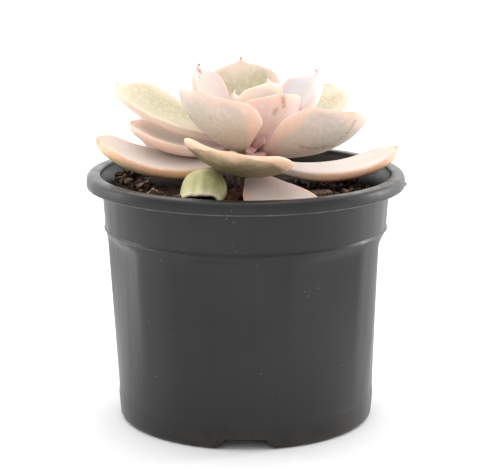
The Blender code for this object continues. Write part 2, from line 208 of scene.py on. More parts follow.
class Graph:
    """A material's node tree, written as sums."""

    def __init__(self, name: str) -> None:
        """Start a material with one Principled shader."""
        self.material = bpy.data.materials.new(name)
        self.material.use_nodes = True
        self.nodes = self.material.node_tree.nodes
        self.links = self.material.node_tree.links
        self.shader = self.nodes["Principled BSDF"]
        coordinates = self.nodes.new("ShaderNodeTexCoord")
        self.place = coordinates.outputs["Object"]
        self.uv = coordinates.outputs["UV"]

    def feed(self, socket: Socket, value: Socket | float | Sequence[float]) -> None:
        """Set an input to a number or colour, or link it."""
        if isinstance(value, bpy.types.NodeSocket):
            self.links.new(value, socket)
        elif isinstance(value, (int, float)):
            socket.default_value = value
        else:
            wanted = len(socket.default_value)
            socket.default_value = (*value, 1.0) if len(value) < wanted else tuple(value)

    def math(self, operation: str, a: Socket | float, b: Socket | float = 0.0) -> Socket:
        """One Math node."""
        node = self.nodes.new("ShaderNodeMath")
        node.operation = operation
        self.feed(node.inputs[0], a)
        self.feed(node.inputs[1], b)
        return node.outputs[0]

    def times(self, a: Socket | float, b: Socket | float) -> Socket:
        """Product of two values."""
        return self.math("MULTIPLY", a, b)

    def plus(self, a: Socket | float, b: Socket | float) -> Socket:
        """Sum of two values."""
        return self.math("ADD", a, b)

    def parts(self, source: Socket) -> bpy.types.bpy_prop_collection:
        """The X, Y and Z of a vector."""
        node = self.nodes.new("ShaderNodeSeparateXYZ")
        self.links.new(source, node.inputs[0])
        return node.outputs

    def fixed(self, **values: float | Sequence[float]) -> None:
        """Set the shader's own sockets; an underscore stands for a space."""
        for name, value in values.items():
            self.shader.inputs[name.replace("_", " ")].default_value = value

    def step(self, value: Socket, low: float, high: float) -> Socket:
        """Smooth step of a value from 0 at low to 1 at high; low may be the greater."""
        node = self.nodes.new("ShaderNodeMapRange")
        node.interpolation_type = "SMOOTHSTEP"
        self.feed(node.inputs["Value"], value)
        node.inputs["From Min"].default_value = low
        node.inputs["From Max"].default_value = high
        return node.outputs["Result"]

    def span(self, value: Socket, low: float, high: float) -> Socket:
        """Spread a 0 to 1 value between two numbers."""
        node = self.nodes.new("ShaderNodeMapRange")
        self.feed(node.inputs["Value"], value)
        node.inputs["To Min"].default_value = low
        node.inputs["To Max"].default_value = high
        return node.outputs["Result"]

    def mix(self, share: Socket | float, a: Socket | Colour, b: Socket | Colour) -> Socket:
        """Colour between a and b."""
        node = self.nodes.new("ShaderNodeMix")
        node.data_type = "RGBA"
        self.feed(node.inputs[0], share)
        self.feed(node.inputs[6], a)
        self.feed(node.inputs[7], b)
        return node.outputs[2]

    def noise(
        self,
        scale: float,
        detail: float = 3.0,
        vector: Socket | None = None,
        stretch: Sequence[float] | None = None,
    ) -> Socket:
        """Noise in object space, or on another vector.

        Args:
            scale: Lumps per metre, or per unit of the vector.
            detail: Octaves.
            vector: What the noise is laid on; the object's own space if left out.
            stretch: How much each axis is multiplied first.

        Returns:
            The noise's factor.
        """
        node = self.nodes.new("ShaderNodeTexNoise")
        node.inputs["Scale"].default_value = scale
        node.inputs["Detail"].default_value = detail
        source = vector if vector is not None else self.place
        if stretch is not None:
            mapping = self.nodes.new("ShaderNodeMapping")
            mapping.inputs["Scale"].default_value = stretch
            self.links.new(source, mapping.inputs["Vector"])
            source = mapping.outputs["Vector"]
        self.links.new(source, node.inputs["Vector"])
        return node.outputs["Fac"]

    def cells(self, scale: float, jitter: float = 1.0) -> Socket:
        """Distance to the nearest of scattered points, in object space."""
        node = self.nodes.new("ShaderNodeTexVoronoi")
        node.inputs["Scale"].default_value = scale
        node.inputs["Randomness"].default_value = jitter
        self.links.new(self.place, node.inputs["Vector"])
        return node.outputs["Distance"]

    def near(self, point: Vector, radius: float, edge: Socket) -> Socket:
        """1 close to a point in millimetres, 0 past a radius, with a ragged edge."""
        node = self.nodes.new("ShaderNodeVectorMath")
        node.operation = "DISTANCE"
        self.links.new(self.place, node.inputs[0])
        node.inputs[1].default_value = point * MM
        ragged = self.plus(node.outputs["Value"], self.times(edge, radius * MM))
        return self.step(ragged, radius * 1.9 * MM, radius * 0.5 * MM)

    def bump(self, height: Socket, strength: float, distance: float) -> None:
        """Raise the surface by a height field, at most a distance in millimetres."""
        node = self.nodes.new("ShaderNodeBump")
        node.inputs["Strength"].default_value = strength
        node.inputs["Distance"].default_value = distance * MM
        self.links.new(height, node.inputs["Height"])
        self.links.new(node.outputs["Normal"], self.shader.inputs["Normal"])

    def colour(self, value: Socket | Colour) -> None:
        """Set the base colour."""
        self.feed(self.shader.inputs["Base Color"], value)

    def rough(self, value: Socket | float) -> None:
        """Set the roughness."""
        self.feed(self.shader.inputs["Roughness"], value)


class Finish:
    """A surface finish that knows how to lay its own nodes."""

    def paint(self, graph: Graph) -> None:
        """Lay the finish's nodes; each finish has its own way."""
        raise NotImplementedError

    def material(self, name: str) -> bpy.types.Material:
        """Build the finish as a material.

        Args:
            name: The material's name.

        Returns:
            The material.
        """
        graph = Graph(name)
        self.paint(graph)
        return graph.material


@dataclass(frozen=True)
class PlasticFinish(Finish):
    """Dark moulded polypropylene, a little dusty and rubbed."""

    body: Colour = (0.0075, 0.0075, 0.0078)
    worn: Colour = (0.014, 0.0135, 0.013)
    dust: Colour = (0.22, 0.21, 0.19)
    earth: Colour = (0.030, 0.020, 0.013)
    low_gloss: float = 0.42
    high_gloss: float = 0.33
    reflectance: float = 0.38

    def paint(self, graph: Graph) -> None:
        """Lay the nodes of the plastic."""
        cloud = graph.noise(28.0, 2.0)
        streak = graph.noise(260.0, 2.0, stretch=(1.0, 1.0, 0.10))
        scuff = graph.noise(700.0, 2.0, stretch=(0.3, 0.3, 2.4))
        tone = graph.mix(graph.step(cloud, 0.3, 0.8), self.body, self.worn)
        rubbed = graph.times(graph.step(scuff, 0.70, 0.80), 0.5)
        tone = graph.mix(rubbed, tone, self.worn)
        low = graph.step(graph.parts(graph.place)["Z"], 0.012, 0.001)
        soiled = graph.times(low, graph.step(graph.noise(160.0, 4.0), 0.42, 0.66))
        tone = graph.mix(graph.times(soiled, 0.7), tone, self.earth)
        specks = graph.step(graph.cells(330.0), 0.10, 0.035)
        sparse = graph.step(graph.noise(52.0, 1.0), 0.56, 0.66)
        dusty = graph.times(graph.times(specks, sparse), 0.55)
        graph.colour(graph.mix(dusty, tone, self.dust))
        gloss = graph.span(graph.step(streak, 0.3, 0.7), self.high_gloss, self.low_gloss)
        graph.rough(graph.plus(gloss, graph.times(dusty, 0.3)))
        graph.fixed(Specular_IOR_Level=self.reflectance)
        fine = graph.plus(graph.noise(1500.0, 2.0), graph.times(streak, 0.6))
        graph.bump(fine, 0.22, 0.05)


@dataclass(frozen=True)
class EarthFinish(Finish):
    """Damp peat and bark, or any crumbly dark matter."""

    dark: Colour = (0.012, 0.007, 0.005)
    mid: Colour = (0.045, 0.025, 0.016)
    warm: Colour = (0.140, 0.075, 0.045)
    scale: float = 420.0
    roughness: float = 0.92
    reflectance: float = 0.12

    def paint(self, graph: Graph) -> None:
        """Lay the nodes of the earth."""
        lumps = graph.noise(self.scale, 4.0)
        grains = graph.noise(self.scale * 4.0, 3.0)
        tone = graph.mix(graph.step(lumps, 0.38, 0.62), self.dark, self.mid)
        tone = graph.mix(graph.step(grains, 0.56, 0.74), tone, self.warm)
        graph.colour(tone)
        graph.rough(graph.span(grains, self.roughness - 0.1, self.roughness))
        graph.fixed(Specular_IOR_Level=self.reflectance)
        graph.bump(graph.plus(lumps, grains), 0.8, 0.5)


@dataclass(frozen=True)
class FibreFinish(Finish):
    """Dry woody matter with a grain, such as bark, stalks and the stem."""

    light: Colour = (0.28, 0.17, 0.10)
    dark: Colour = (0.09, 0.045, 0.025)
    scale: float = 500.0

    def paint(self, graph: Graph) -> None:
        """Lay the nodes of the woody finish."""
        grain = graph.noise(self.scale, 3.0, stretch=(1.0, 1.0, 0.35))
        fleck = graph.noise(self.scale * 3.0, 2.0)
        tone = graph.mix(graph.step(grain, 0.36, 0.64), self.dark, self.light)
        graph.colour(graph.mix(graph.step(fleck, 0.62, 0.72), tone, self.dark))
        graph.rough(graph.span(grain, 0.7, 0.88))
        graph.bump(graph.plus(grain, fleck), 0.7, 0.3)


@dataclass(frozen=True)
class Scar:
    """A small brown mark: share of the length, share across, upper face or not, radius."""

    along: float
    across: float
    upper: bool
    radius: float
    strength: float = 0.5


def marks(*rows: tuple[float, float, float, float]) -> tuple[Scar, ...]:
    """Marks on a leaf's lower face, from rows of along, across, radius and strength."""
    return tuple(Scar(along, across, False, size, share) for along, across, size, share in rows)


@dataclass(frozen=True)
class LeafFinish:
    """Waxy leaf skin: a bloom over flesh that blushes at the margins."""

    face: Colour = (0.74, 0.66, 0.50)
    back: Colour = (0.76, 0.60, 0.53)
    margin: Colour = (0.88, 0.55, 0.38)
    foot: Colour = (0.78, 0.58, 0.55)
    keel: Colour = (0.62, 0.55, 0.36)
    tip: Colour = (0.20, 0.075, 0.045)
    margin_share: float = 0.75
    margin_start: float = 0.72
    end_start: float = 0.82
    keel_share: float = 0.35
    tip_share: float = 0.8
    bloomed: float = 0.22
    scar: Colour = (0.30, 0.13, 0.08)

    def material(self, name: str, scars: Sequence[tuple[Vector, Scar]]) -> bpy.types.Material:
        """Build the leaf skin on the leaf's own map: u runs round it, v from foot to tip.

        Args:
            name: The material's name.
            scars: Where each brown mark sits, and what it is.

        Returns:
            The material.
        """
        graph = Graph(name)
        split = graph.parts(graph.uv)
        turn = graph.times(split["X"], 2.0 * math.pi)
        along = split["Y"]
        across = graph.math("ABSOLUTE", graph.math("COSINE", turn))
        lift = graph.math("SINE", turn)
        broad = graph.noise(110.0, 3.0)
        fine = graph.noise(650.0, 3.0)
        uneven = graph.times(graph.math("SUBTRACT", broad, 0.5), 0.35)

        upper = graph.step(lift, -0.12, 0.22)
        tone = graph.mix(upper, self.back, self.face)
        ridge = graph.step(graph.plus(across, uneven), 0.62, 0.05)
        ridge = graph.times(ridge, graph.step(along, 0.25, 0.8))
        tone = graph.mix(graph.times(ridge, self.keel_share), tone, self.keel)
        low = graph.step(graph.plus(along, uneven), 0.5, 0.05)
        tone = graph.mix(graph.times(low, 0.7), tone, self.foot)
        edge = graph.step(graph.plus(across, uneven), self.margin_start, 0.96)
        edge = graph.times(edge, graph.step(along, 0.12, 0.45))
        close = graph.step(graph.plus(along, uneven), self.end_start, 1.0)
        edge = graph.math("MAXIMUM", edge, graph.times(close, 0.85))
        tone = graph.mix(graph.times(edge, self.margin_share), tone, self.margin)

        bloom = graph.times(graph.step(fine, 0.42, 0.7), self.bloomed)
        tone = graph.mix(bloom, tone, (0.86, 0.82, 0.80))
        lines = graph.noise(5.0, 2.0, graph.uv, (14.0, 0.5, 1.0))
        lined = graph.times(graph.step(lines, 0.62, 0.75), low)
        tone = graph.mix(graph.times(lined, 0.35), tone, self.foot)
        fleck = graph.step(graph.cells(230.0), 0.085, 0.04)
        fleck = graph.times(fleck, graph.step(graph.noise(60.0, 1.0), 0.55, 0.66))
        tone = graph.mix(graph.times(fleck, 0.4), tone, self.scar)
        for place, scar in scars:
            mark = graph.near(place, scar.radius, fine)
            tone = graph.mix(graph.times(mark, scar.strength), tone, self.scar)
        point = graph.step(along, 0.955, 0.985)
        tone = graph.mix(graph.times(point, self.tip_share), tone, self.tip)
        graph.colour(tone)
        graph.rough(graph.span(fine, 0.48, 0.66))
        graph.fixed(
            Subsurface_Weight=0.22, Subsurface_Radius=(1.0, 0.45, 0.3), Subsurface_Scale=0.0025
        )
        skin = graph.plus(graph.noise(2400.0, 2.0), graph.times(fine, 0.8))
        graph.bump(skin, 0.18, 0.10)
        return graph.material


@dataclass(frozen=True)
class TornFinish(Finish):
    """Soft yellow-green tissue of an old leaf, cream where it tore and dark inside."""

    flesh: Colour = (0.78, 0.74, 0.42)
    deep: Colour = (0.60, 0.61, 0.27)
    cream: Colour = (0.90, 0.80, 0.56)

    def paint(self, graph: Graph) -> None:
        """Lay the nodes of the torn leaf: v is 1 at the torn edge."""
        split = graph.parts(graph.uv)
        broad = graph.noise(170.0, 3.0)
        fine = graph.noise(900.0, 3.0)
        tone = graph.mix(graph.step(broad, 0.35, 0.68), self.deep, self.flesh)
        uneven = graph.times(graph.math("SUBTRACT", fine, 0.5), 0.3)
        torn = graph.step(graph.plus(split["Y"], uneven), 0.86, 1.0)
        side = graph.step(graph.plus(split["X"], uneven), 0.16, 0.0)
        torn = graph.math("MAXIMUM", torn, side)
        graph.colour(graph.mix(torn, tone, self.cream))
        graph.rough(graph.span(fine, 0.45, 0.7))
        graph.fixed(Subsurface_Weight=0.15, Subsurface_Scale=0.002)
        graph.bump(graph.plus(broad, fine), 0.5, 0.25)


# ---------------------------------------------------------------- pot


@dataclass(frozen=True)
class Corner:
    """A corner of a turned profile: radius, height and the fillet that rounds it."""

    radius: float
    z: float
    fillet: float = 0.0


@dataclass
class Pot:
    """The moulded nursery pot: seven shallow panels with plain ribs between them."""

    height: float = 82.5
    lip_radius: float = 52.5
    lip_depth: float = 4.1
    collar_radius: float = 47.4
    collar_height: float = 14.0
    base_radius: float = 42.4
    mouth_radius: float = 47.8
    ledge_step: float = 0.5
    foot_height: float = 8.0
    foot_step: float = 0.3
    wall: float = 1.2
    floor_rise: float = 4.2
    floor_thickness: float = 1.5
    foot_width: float = 5.0
    ledge_chamfer: float = 0.42
    panels: int = 7
    panel_share: float = 0.68
    panel_depth: float = 1.8
    panel_turn: float = 23.8
    notches: int = 4
    notch_width: float = 14.5
    notch_height: float = 3.7
    notch_flare: float = 3.6
    drain_radius: float = 4.5
    drain_circle: float = 27.0
    sides: int = 216
    finish: PlasticFinish = field(default_factory=PlasticFinish)

    @property
    def under_lip(self) -> float:
        """Height of the lip's lower face."""
        return self.height - self.lip_depth

    @property
    def ledge(self) -> float:
        """Height where the collar ends and the panels begin."""
        return self.under_lip - self.collar_height

    def wall_radius(self, z: float) -> float:
        """Radius of the collar and of the foot, on one cone, at a height."""
        share = (z - 2.5) / (self.under_lip - 2.5)
        return self.base_radius + (self.collar_radius - self.base_radius) * share

    def inner_radius(self, z: float) -> float:
        """Inner radius at a height below the lip."""
        return self.wall_radius(z) - self.ledge_step - self.panel_depth - self.wall

    def corners(self) -> list[Corner]:
        """Corners of the turned section, from the floor's top round to its underside."""
        top = self.height
        under = self.under_lip
        floor = self.floor_rise + self.floor_thickness
        foot = self.base_radius - self.foot_width
        rows = [
            Corner(0.0, floor),
            Corner(self.inner_radius(floor), floor, 1.5),
            Corner(self.inner_radius(self.ledge + 1.6), self.ledge + 1.6, 3.0),
            Corner(self.mouth_radius - 2.0, under - 0.8, 3.0),
            Corner(self.mouth_radius, top - 1.4, 1.6),
            Corner(self.mouth_radius + 0.2, top, 1.0),
            Corner(self.lip_radius - 0.2, top, 1.9),
            Corner(self.lip_radius, under, 0.8),
            Corner(self.collar_radius - 0.05, under, 0.5),
        ]
        ledge = self.ledge
        for z in (72.0, 67.0, ledge + 1.4, ledge + 1.0):
            rows.append(Corner(self.wall_radius(z), z))
        full = self.ledge_chamfer
        for rise, out in ((0.85, 0.0), (0.65, 0.05), (0.1, 0.38), (0.0, full), (-0.2, full)):
            rows.append(Corner(self.wall_radius(ledge) + out, ledge + rise))
        for z in (0.45, 0.7, 1.0, 1.4, 1.9, 2.6, 3.4, 4.4):
            out = full * smooth(4.4, 0.4, z)
            rows.append(Corner(self.wall_radius(ledge - z) + out, ledge - z))
        for z in range(57, 13, -4):
            rows.append(Corner(self.wall_radius(z), float(z)))
        for z in (11.0, 10.0, 9.5, 9.1, 8.8, 8.5, 8.2, 7.8, 7.0, 5.0):
            rows.append(Corner(self.wall_radius(z), z))
        rows += [
            Corner(self.base_radius - 0.1, 0.0, 2.4),
            Corner(foot + 0.3, 0.0, 0.4),
            Corner(foot, self.floor_rise, 0.8),
            Corner(0.0, self.floor_rise),
        ]
        return rows

    def section(self) -> list[Vector]:
        """The turned section as points in the XZ plane, with its corners rounded."""
        rows = self.corners()
        points = []
        for i, row in enumerate(rows):
            here = Vector((row.radius, 0.0, row.z))
            if not row.fillet or i in (0, len(rows) - 1):
                points.append(here)
                continue
            back = Vector((rows[i - 1].radius, 0.0, rows[i - 1].z)) - here
            ahead = Vector((rows[i + 1].radius, 0.0, rows[i + 1].z)) - here
            reach = min(row.fillet, 0.48 * back.length, 0.48 * ahead.length)
            start = here + back.normalized() * reach
            end = here + ahead.normalized() * reach
            for k in range(6):
                t = k / 5
                points.append(start.lerp(here, t).lerp(here.lerp(end, t), t))
        return points

    def panelled(self, point: Vector) -> Vector:
        """A point of the round wall moved in to its shallow panel."""
        radius = math.hypot(point.x, point.y)
        if point.z > self.ledge or radius < self.wall_radius(point.z) - 0.4 or point.z < 4.0:
            return point
        step = 360.0 / self.panels
        azimuth = math.degrees(math.atan2(point.y, point.x))
        turn = (azimuth - self.panel_turn) % step - step / 2
        bow = 1.0 - (2.0 * turn / (self.panel_share * step)) ** 2
        flat = 0.5 * (bow + math.sqrt(bow * bow + 0.004)) if bow > -0.5 else 0.0
        rise = min(1.0, max(0.0, (point.z - self.foot_height) / (self.ledge - self.foot_height)))
        inset = self.foot_step + (self.ledge_step - self.foot_step) * rise
        shoulder = smooth(self.ledge + 0.1, self.ledge - 0.7, point.z)
        scoop = smooth(self.ledge - 0.2, self.ledge - 4.6, point.z)
        foot = smooth(self.foot_height - 0.6, self.foot_height + 2.4, point.z)
        cut = (inset * shoulder + self.panel_depth * flat * rise * scoop) * foot
        return Vector((point.x * (1 - cut / radius), point.y * (1 - cut / radius), point.z))

    def turn_body(self) -> bpy.types.Object:
        """Draw the section by extruding one vertex along it, and spin it round the axis."""
        deselect()
        points = self.section()
        bpy.ops.mesh.primitive_plane_add(size=MM, location=points[0] * MM)
        body = named("pot_body")
        bpy.ops.object.mode_set(mode="EDIT")
        bpy.ops.mesh.select_all(action="SELECT")
        bpy.ops.mesh.merge(type="CENTER")
        for before, after in zip(points, points[1:]):
            bpy.ops.mesh.extrude_region_move(
                TRANSFORM_OT_translate={"value": (after - before) * MM}
            )
        bpy.ops.mesh.select_all(action="SELECT")
        bpy.ops.mesh.spin(
            steps=self.sides, angle=2 * math.pi, center=(0, 0, 0), axis=(0, 0, 1)
        )
        bpy.ops.object.mode_set(mode="OBJECT")
        settle(body)
        face_outwards(body, merge=0.00002)
        return body

    def notch_cutter(self, azimuth: float) -> bpy.types.Object:
        """A block with flared, rounded sides that opens one drain notch."""
        deselect()
        deep = self.foot_width + 4.0
        low = -1.0
        bpy.ops.mesh.primitive_cube_add(size=1.0, location=(0, 0, 0.5))
        cutter = named("notch_cutter")
        cut_up(cutter, 13)
        half = 0.5 * self.notch_width
        start = self.base_radius - self.foot_width - 1.0

        def flared(point: Vector) -> Vector:
            """Give the block its depth, its height and its sides' shape."""
            share = point.z * MM
            z = low + (self.notch_height - low) * share
            width = half + self.notch_flare * max(0.0, 1.0 - z / (0.75 * self.notch_height)) ** 2.6
            width -= 0.9 * smooth(0.80, 1.0, share) ** 2
            return Vector((start + deep * (0.5 + point.x * MM), 2 * width * point.y * MM, z))

        sculpt(cutter, flared)
        cutter.rotation_euler.z = math.radians(azimuth)
        settle(cutter)
        return cutter

    def drain_cutter(self, azimuth: float) -> bpy.types.Object:
        """A cylinder that opens one drain hole."""
        deselect()
        middle = self.floor_rise + self.floor_thickness / 2
        bpy.ops.mesh.primitive_cylinder_add(
            vertices=32,
            radius=self.drain_radius * MM,
            depth=4.0 * MM,
            location=polar(self.drain_circle, azimuth, middle) * MM,
        )
        cutter = named("drain_cutter")
        settle(cutter)
        return cutter

    def build_body(self) -> bpy.types.Object:
        """The whole pot: turned, panelled, notched and pierced."""
        body = self.turn_body()
        sculpt(body, self.panelled)
        cutters = []
        for i in range(self.notches):
            azimuth = -90.0 + 360.0 / self.notches * i
            cutters.append(self.notch_cutter(azimuth))
            cutters.append(self.drain_cutter(azimuth))
        for cutter in cutters:
            modifier = body.modifiers.new("cut", "BOOLEAN")
            modifier.operation = "DIFFERENCE"
            modifier.solver = "EXACT"
            modifier.object = cutter
        apply_all(body)
        for cutter in cutters:
            bpy.data.objects.remove(cutter, do_unlink=True)
        shade(body, 40.0)
        return hand_over(body, self.finish.material("pot_plastic"), ["pot"])

    def build_flash(self) -> bpy.types.Object:
        """The thin ragged line of flash the mould left under the lip, coloured lighter than the pot
        as a painted highlight.
        """
        deselect()
        bpy.ops.mesh.primitive_torus_add(
            major_radius=(self.lip_radius - 0.25) * MM,
            minor_radius=0.2 * MM,
            major_segments=360,
            minor_segments=8,
            location=(0, 0, (self.under_lip + 0.12) * MM),
        )
        flash = named("lip_flash")
        settle(flash)
        middle = Vector((0, 0, self.under_lip + 0.12))

        def ragged(point: Vector) -> Vector:
            """Swell and sink the line along its way."""
            azimuth = math.atan2(point.y, point.x)
            ring = polar(self.lip_radius - 0.25, math.degrees(azimuth), middle.z)
            swell = 0.75 + 0.9 * max(0.0, wobble(ring, 3.0, 4.0)) + 0.3 * wobble(ring, 1.1, 2.0)
            nub = 3.2 * math.exp(-((math.degrees(azimuth) + 3.0) ** 2) / 1.2)
            return ring + (point - ring) * max(0.35, swell + nub)

        sculpt(flash, ragged)
        shade(flash)
        # Painted highlight: the flash is the pot's own plastic, coloured lighter to stand in for the
        # light its thin edge catches.
        finish = PlasticFinish(body=(0.07, 0.07, 0.07), worn=(0.12, 0.12, 0.12))
        return hand_over(flash, finish.material("flash_painted_highlight"))

    def build(self) -> None:
        """Build the pot and the flash under its lip."""
        self.build_body()
        self.build_flash()


# ---------------------------------------------------------------- soil


@dataclass
class SoilBed:
    """Potting mix with its crumbs, fibres, flakes, stalks and a bark chip."""

    radius: float = 43.2
    low_radius: float = 38.6
    wall_radius: float = 43.3
    crumb_reach: float = 42.3
    fibre_reach: float = 43.0
    bottom: float = 6.0
    rings: int = 26
    crumbs: int = 1700
    fibres: int = 46
    seed: int = 11

    @property
    def top_limit(self) -> float:
        """Height in millimetres above which a vertex of the bed belongs to its top."""
        return 0.9 * SOIL_LEVEL

    @staticmethod
    def height(x: float, y: float) -> float:
        """Height of the uneven surface."""
        wave = math.sin(0.31 * x + 0.7) * math.cos(0.27 * y - 0.4)
        ripple = 0.5 * math.sin(0.62 * x - 0.5 * y + 1.1)
        lumps = wobble(Vector((x, y, 0.0)), 5.0, 3.0) + 0.5 * wobble(Vector((x, y, 0.0)), 2.0, 5.0)
        out = math.hypot(x, y)
        azimuth = math.degrees(math.atan2(y, x)) % 360.0
        left = math.exp(-(((azimuth - 196.0) / 48.0) ** 2))
        right = math.exp(-(((azimuth - 322.0) / 26.0) ** 2))
        bank = (6.0 * left + 2.8 * right) * smooth(22.0, 40.0, out)
        return SOIL_LEVEL + 0.8 * (wave + ripple) + 0.9 * lumps + bank

    def build_bed(self) -> bpy.types.Object:
        """The plug of soil: a disc inset ring by ring, extruded down and narrowed."""
        deselect()
        bpy.ops.mesh.primitive_circle_add(
            vertices=112,
            radius=self.radius * MM,
            fill_type="NGON",
            location=(0, 0, SOIL_LEVEL * MM),
        )
        bed = named("soil_bed")
        bpy.ops.object.mode_set(mode="EDIT")
        bpy.ops.mesh.select_all(action="SELECT")
        depth = (SOIL_LEVEL - self.bottom) * MM
        bpy.ops.mesh.extrude_region_move(TRANSFORM_OT_translate={"value": (0, 0, -depth)})
        share = self.low_radius / self.radius
        bpy.ops.transform.resize(value=(share, share, 1.0))
        mesh = bmesh.from_edit_mesh(bed.data)
        mesh.normal_update()
        bpy.ops.mesh.select_all(action="DESELECT")
        rim = [e for e in mesh.edges if all(v.co.z > self.top_limit * MM for v in e.verts)]
        for edge in rim:
            edge.select = True
        bmesh.update_edit_mesh(bed.data)
        if not any(all(v.co.z > self.top_limit * MM for v in f.verts) for f in mesh.faces):
            bpy.ops.mesh.edge_face_add()
        step = self.radius / (self.rings + 0.5)
        mesh = bmesh.from_edit_mesh(bed.data)
        for face in mesh.faces:
            face.select = all(v.co.z > self.top_limit * MM for v in face.verts)
        bmesh.update_edit_mesh(bed.data)
        for _ in range(self.rings):
            bpy.ops.mesh.inset(thickness=step * MM, depth=0.0)
        bpy.ops.object.mode_set(mode="OBJECT")
        settle(bed)
        face_outwards(bed, merge=0.000005)

        def lie(point: Vector) -> Vector:
            """Lift a top vertex to the uneven surface."""
            if point.z < self.top_limit:
                return point
            return Vector((point.x, point.y, self.height(point.x, point.y)))

        sculpt(bed, lie)
        shade(bed)
        return hand_over(bed, EarthFinish().material("soil_peat"), ["soil"])

    def build_crumbs(self) -> bpy.types.Object:
        """Loose crumbs of peat and bark, copied from one rough lump."""
        deselect()
        bpy.ops.mesh.primitive_ico_sphere_add(subdivisions=1, radius=1.0)
        lump = bpy.context.object
        corners = [v.co.copy() for v in lump.data.vertices]
        faces = [tuple(p.vertices) for p in lump.data.polygons]
        bpy.data.objects.remove(lump, do_unlink=True)
        draw = random.Random(self.seed)
        places: list[Vector] = []
        shapes: list[tuple[int, ...]] = []
        for _ in range(self.crumbs):
            where = polar(self.crumb_reach * math.sqrt(draw.random()), draw.uniform(0, 360))
            size = 0.35 + 1.25 * draw.random() ** 2.6
            centre = Vector((where.x, where.y, self.height(where.x, where.y) + 0.25 * size))
            squash = Vector([draw.uniform(0.6, 1.3) * size for _ in range(3)])
            start = len(places)
            for corner in corners:
                rough = 1.0 + 0.35 * draw.uniform(-1, 1)
                place = Vector(corner[i] * squash[i] * rough for i in range(3)) + centre
                limit = self.wall_radius / max(self.wall_radius, math.hypot(place.x, place.y))
                places.append(Vector((place.x * limit, place.y * limit, place.z)))
            shapes += [tuple(start + i for i in face) for face in faces]
        mesh = bpy.data.meshes.new("soil_crumbs")
        mesh.from_pydata([p * MM for p in places], [], shapes)
        crumbs = bpy.data.objects.new("soil_crumbs", mesh)
        bpy.context.scene.collection.objects.link(crumbs)
        finish = EarthFinish(
            dark=(0.016, 0.010, 0.007), mid=(0.07, 0.042, 0.028), warm=(0.20, 0.125, 0.085),
            scale=260.0,
        )
        return hand_over(crumbs, finish.material("soil_crumbs"))

    def strand(
        self, name: str, points: Sequence[Vector], thick: float, taper: float = 0.4
    ) -> bpy.types.Object:
        """A thin curved stalk, drawn as a curve and made a mesh.

        Args:
            name: The strand's name.
            points: Its way, in millimetres.
            thick: Its radius.
            taper: Its radius at the far end, as a share.

        Returns:
            The mesh object.
        """
        deselect()
        bpy.ops.curve.primitive_nurbs_path_add()
        strand = named(name)
        spline_set = strand.data.splines
        spline_set.clear()
        spline = spline_set.new("NURBS")
        spline.points.add(len(points) - 1)
        for i, (slot, point) in enumerate(zip(spline.points, points)):
            slot.co = (*(point * MM), 1.0)
            slot.radius = 1.0 + (taper - 1.0) * i / (len(points) - 1)
        spline.use_endpoint_u = True
        spline.order_u = 3
        strand.data.resolution_u = 4
        strand.data.bevel_depth = thick * MM
        strand.data.bevel_resolution = 2
        strand.data.use_fill_caps = True
        pick(strand)
        bpy.ops.object.convert(target="MESH")
        strand = bpy.context.object
        settle(strand)
        return strand

    def build_fibres(self) -> bpy.types.Object:
        """Short roots and fibres that lie on the soil."""
        draw = random.Random(self.seed + 1)
        strands = []
        for i in range(self.fibres):
            where = polar(draw.uniform(12, 42), draw.uniform(0, 360))
            heading = draw.uniform(0, 360)
            points = []
            for k in range(5):
                step = polar(1.0 + 1.1 * draw.random(), heading)
                heading += draw.uniform(-40, 40)
                where = where + step
                out = math.hypot(where.x, where.y)
                if out > self.fibre_reach:
                    where = where * (self.fibre_reach / out)
                lift = 0.35 + 0.9 * draw.random() * (1 if k in (0, 4) else 0.6)
                points.append(Vector((where.x, where.y, self.height(where.x, where.y) + lift)))
            strands.append(self.strand("fibre_%02d" % i, points, draw.uniform(0.07, 0.2)))
        fibres = joined(strands, "soil_fibres")
        shade(fibres)
        finish = FibreFinish(light=(0.30, 0.20, 0.12), dark=(0.07, 0.04, 0.025))
        return hand_over(fibres, finish.material("fibre_dry"))

    def build_stalks(self) -> None:
        """Two dry stalks that lie near the left wall."""
        ways = {
            "dry_stalk_a": (
                Vector((-38.6, 3.0, 76.4)),
                Vector((-38.0, 6.0, 77.2)),
                Vector((-36.6, 10.0, 77.4)),
                Vector((-35.4, 13.6, 76.6)),
            ),
            "dry_stalk_b": (
                Vector((-28.2, -7.4, 76.3)),
                Vector((-31.0, -4.4, 77.0)),
                Vector((-33.4, -2.0, 77.0)),
                Vector((-35.8, -0.8, 76.5)),
            ),
        }
        finish = FibreFinish(light=(0.42, 0.28, 0.18), dark=(0.16, 0.085, 0.05))
        for node, way in ways.items():
            stalk = self.strand(node + "_form", way, 0.6, 0.55)
            sculpt(stalk, lambda p: p + Vector((1, 1, 1)) * 0.12 * wobble(p, 1.5, 2.0))
            subdivide_surface(stalk, 1)
            shade(stalk)
            hand_over(stalk, finish.material(node + "_straw"), [node])

    def build_chip(self) -> bpy.types.Object:
        """A flake of bark with split layers."""
        deselect()
        bpy.ops.mesh.primitive_cube_add(size=1.0, location=(0.024, -0.017, 0.0778))
        chip = named("bark_chip_form")
        chip.scale = (8.8 * MM, 4.2 * MM, 2.4 * MM)
        chip.rotation_euler = (0.06, -0.05, math.radians(10.0))
        cut_up(chip, 5)
        middle = Vector((24.0, -17.0, 77.8))

        def split(point: Vector) -> Vector:
            """Round the flake off and open its layers."""
            out = point - middle
            round_off = 1.0 - 0.03 * out.length_squared / 6.0
            ragged = 0.9 * wobble(point, 2.2, 1.0) + 0.3 * math.sin(point.z * 5.0)
            flat = Vector((out.x * round_off, out.y * round_off, out.z * round_off))
            return middle + flat + Vector((0.4 * ragged, ragged * 0.5, 0.35 * ragged))

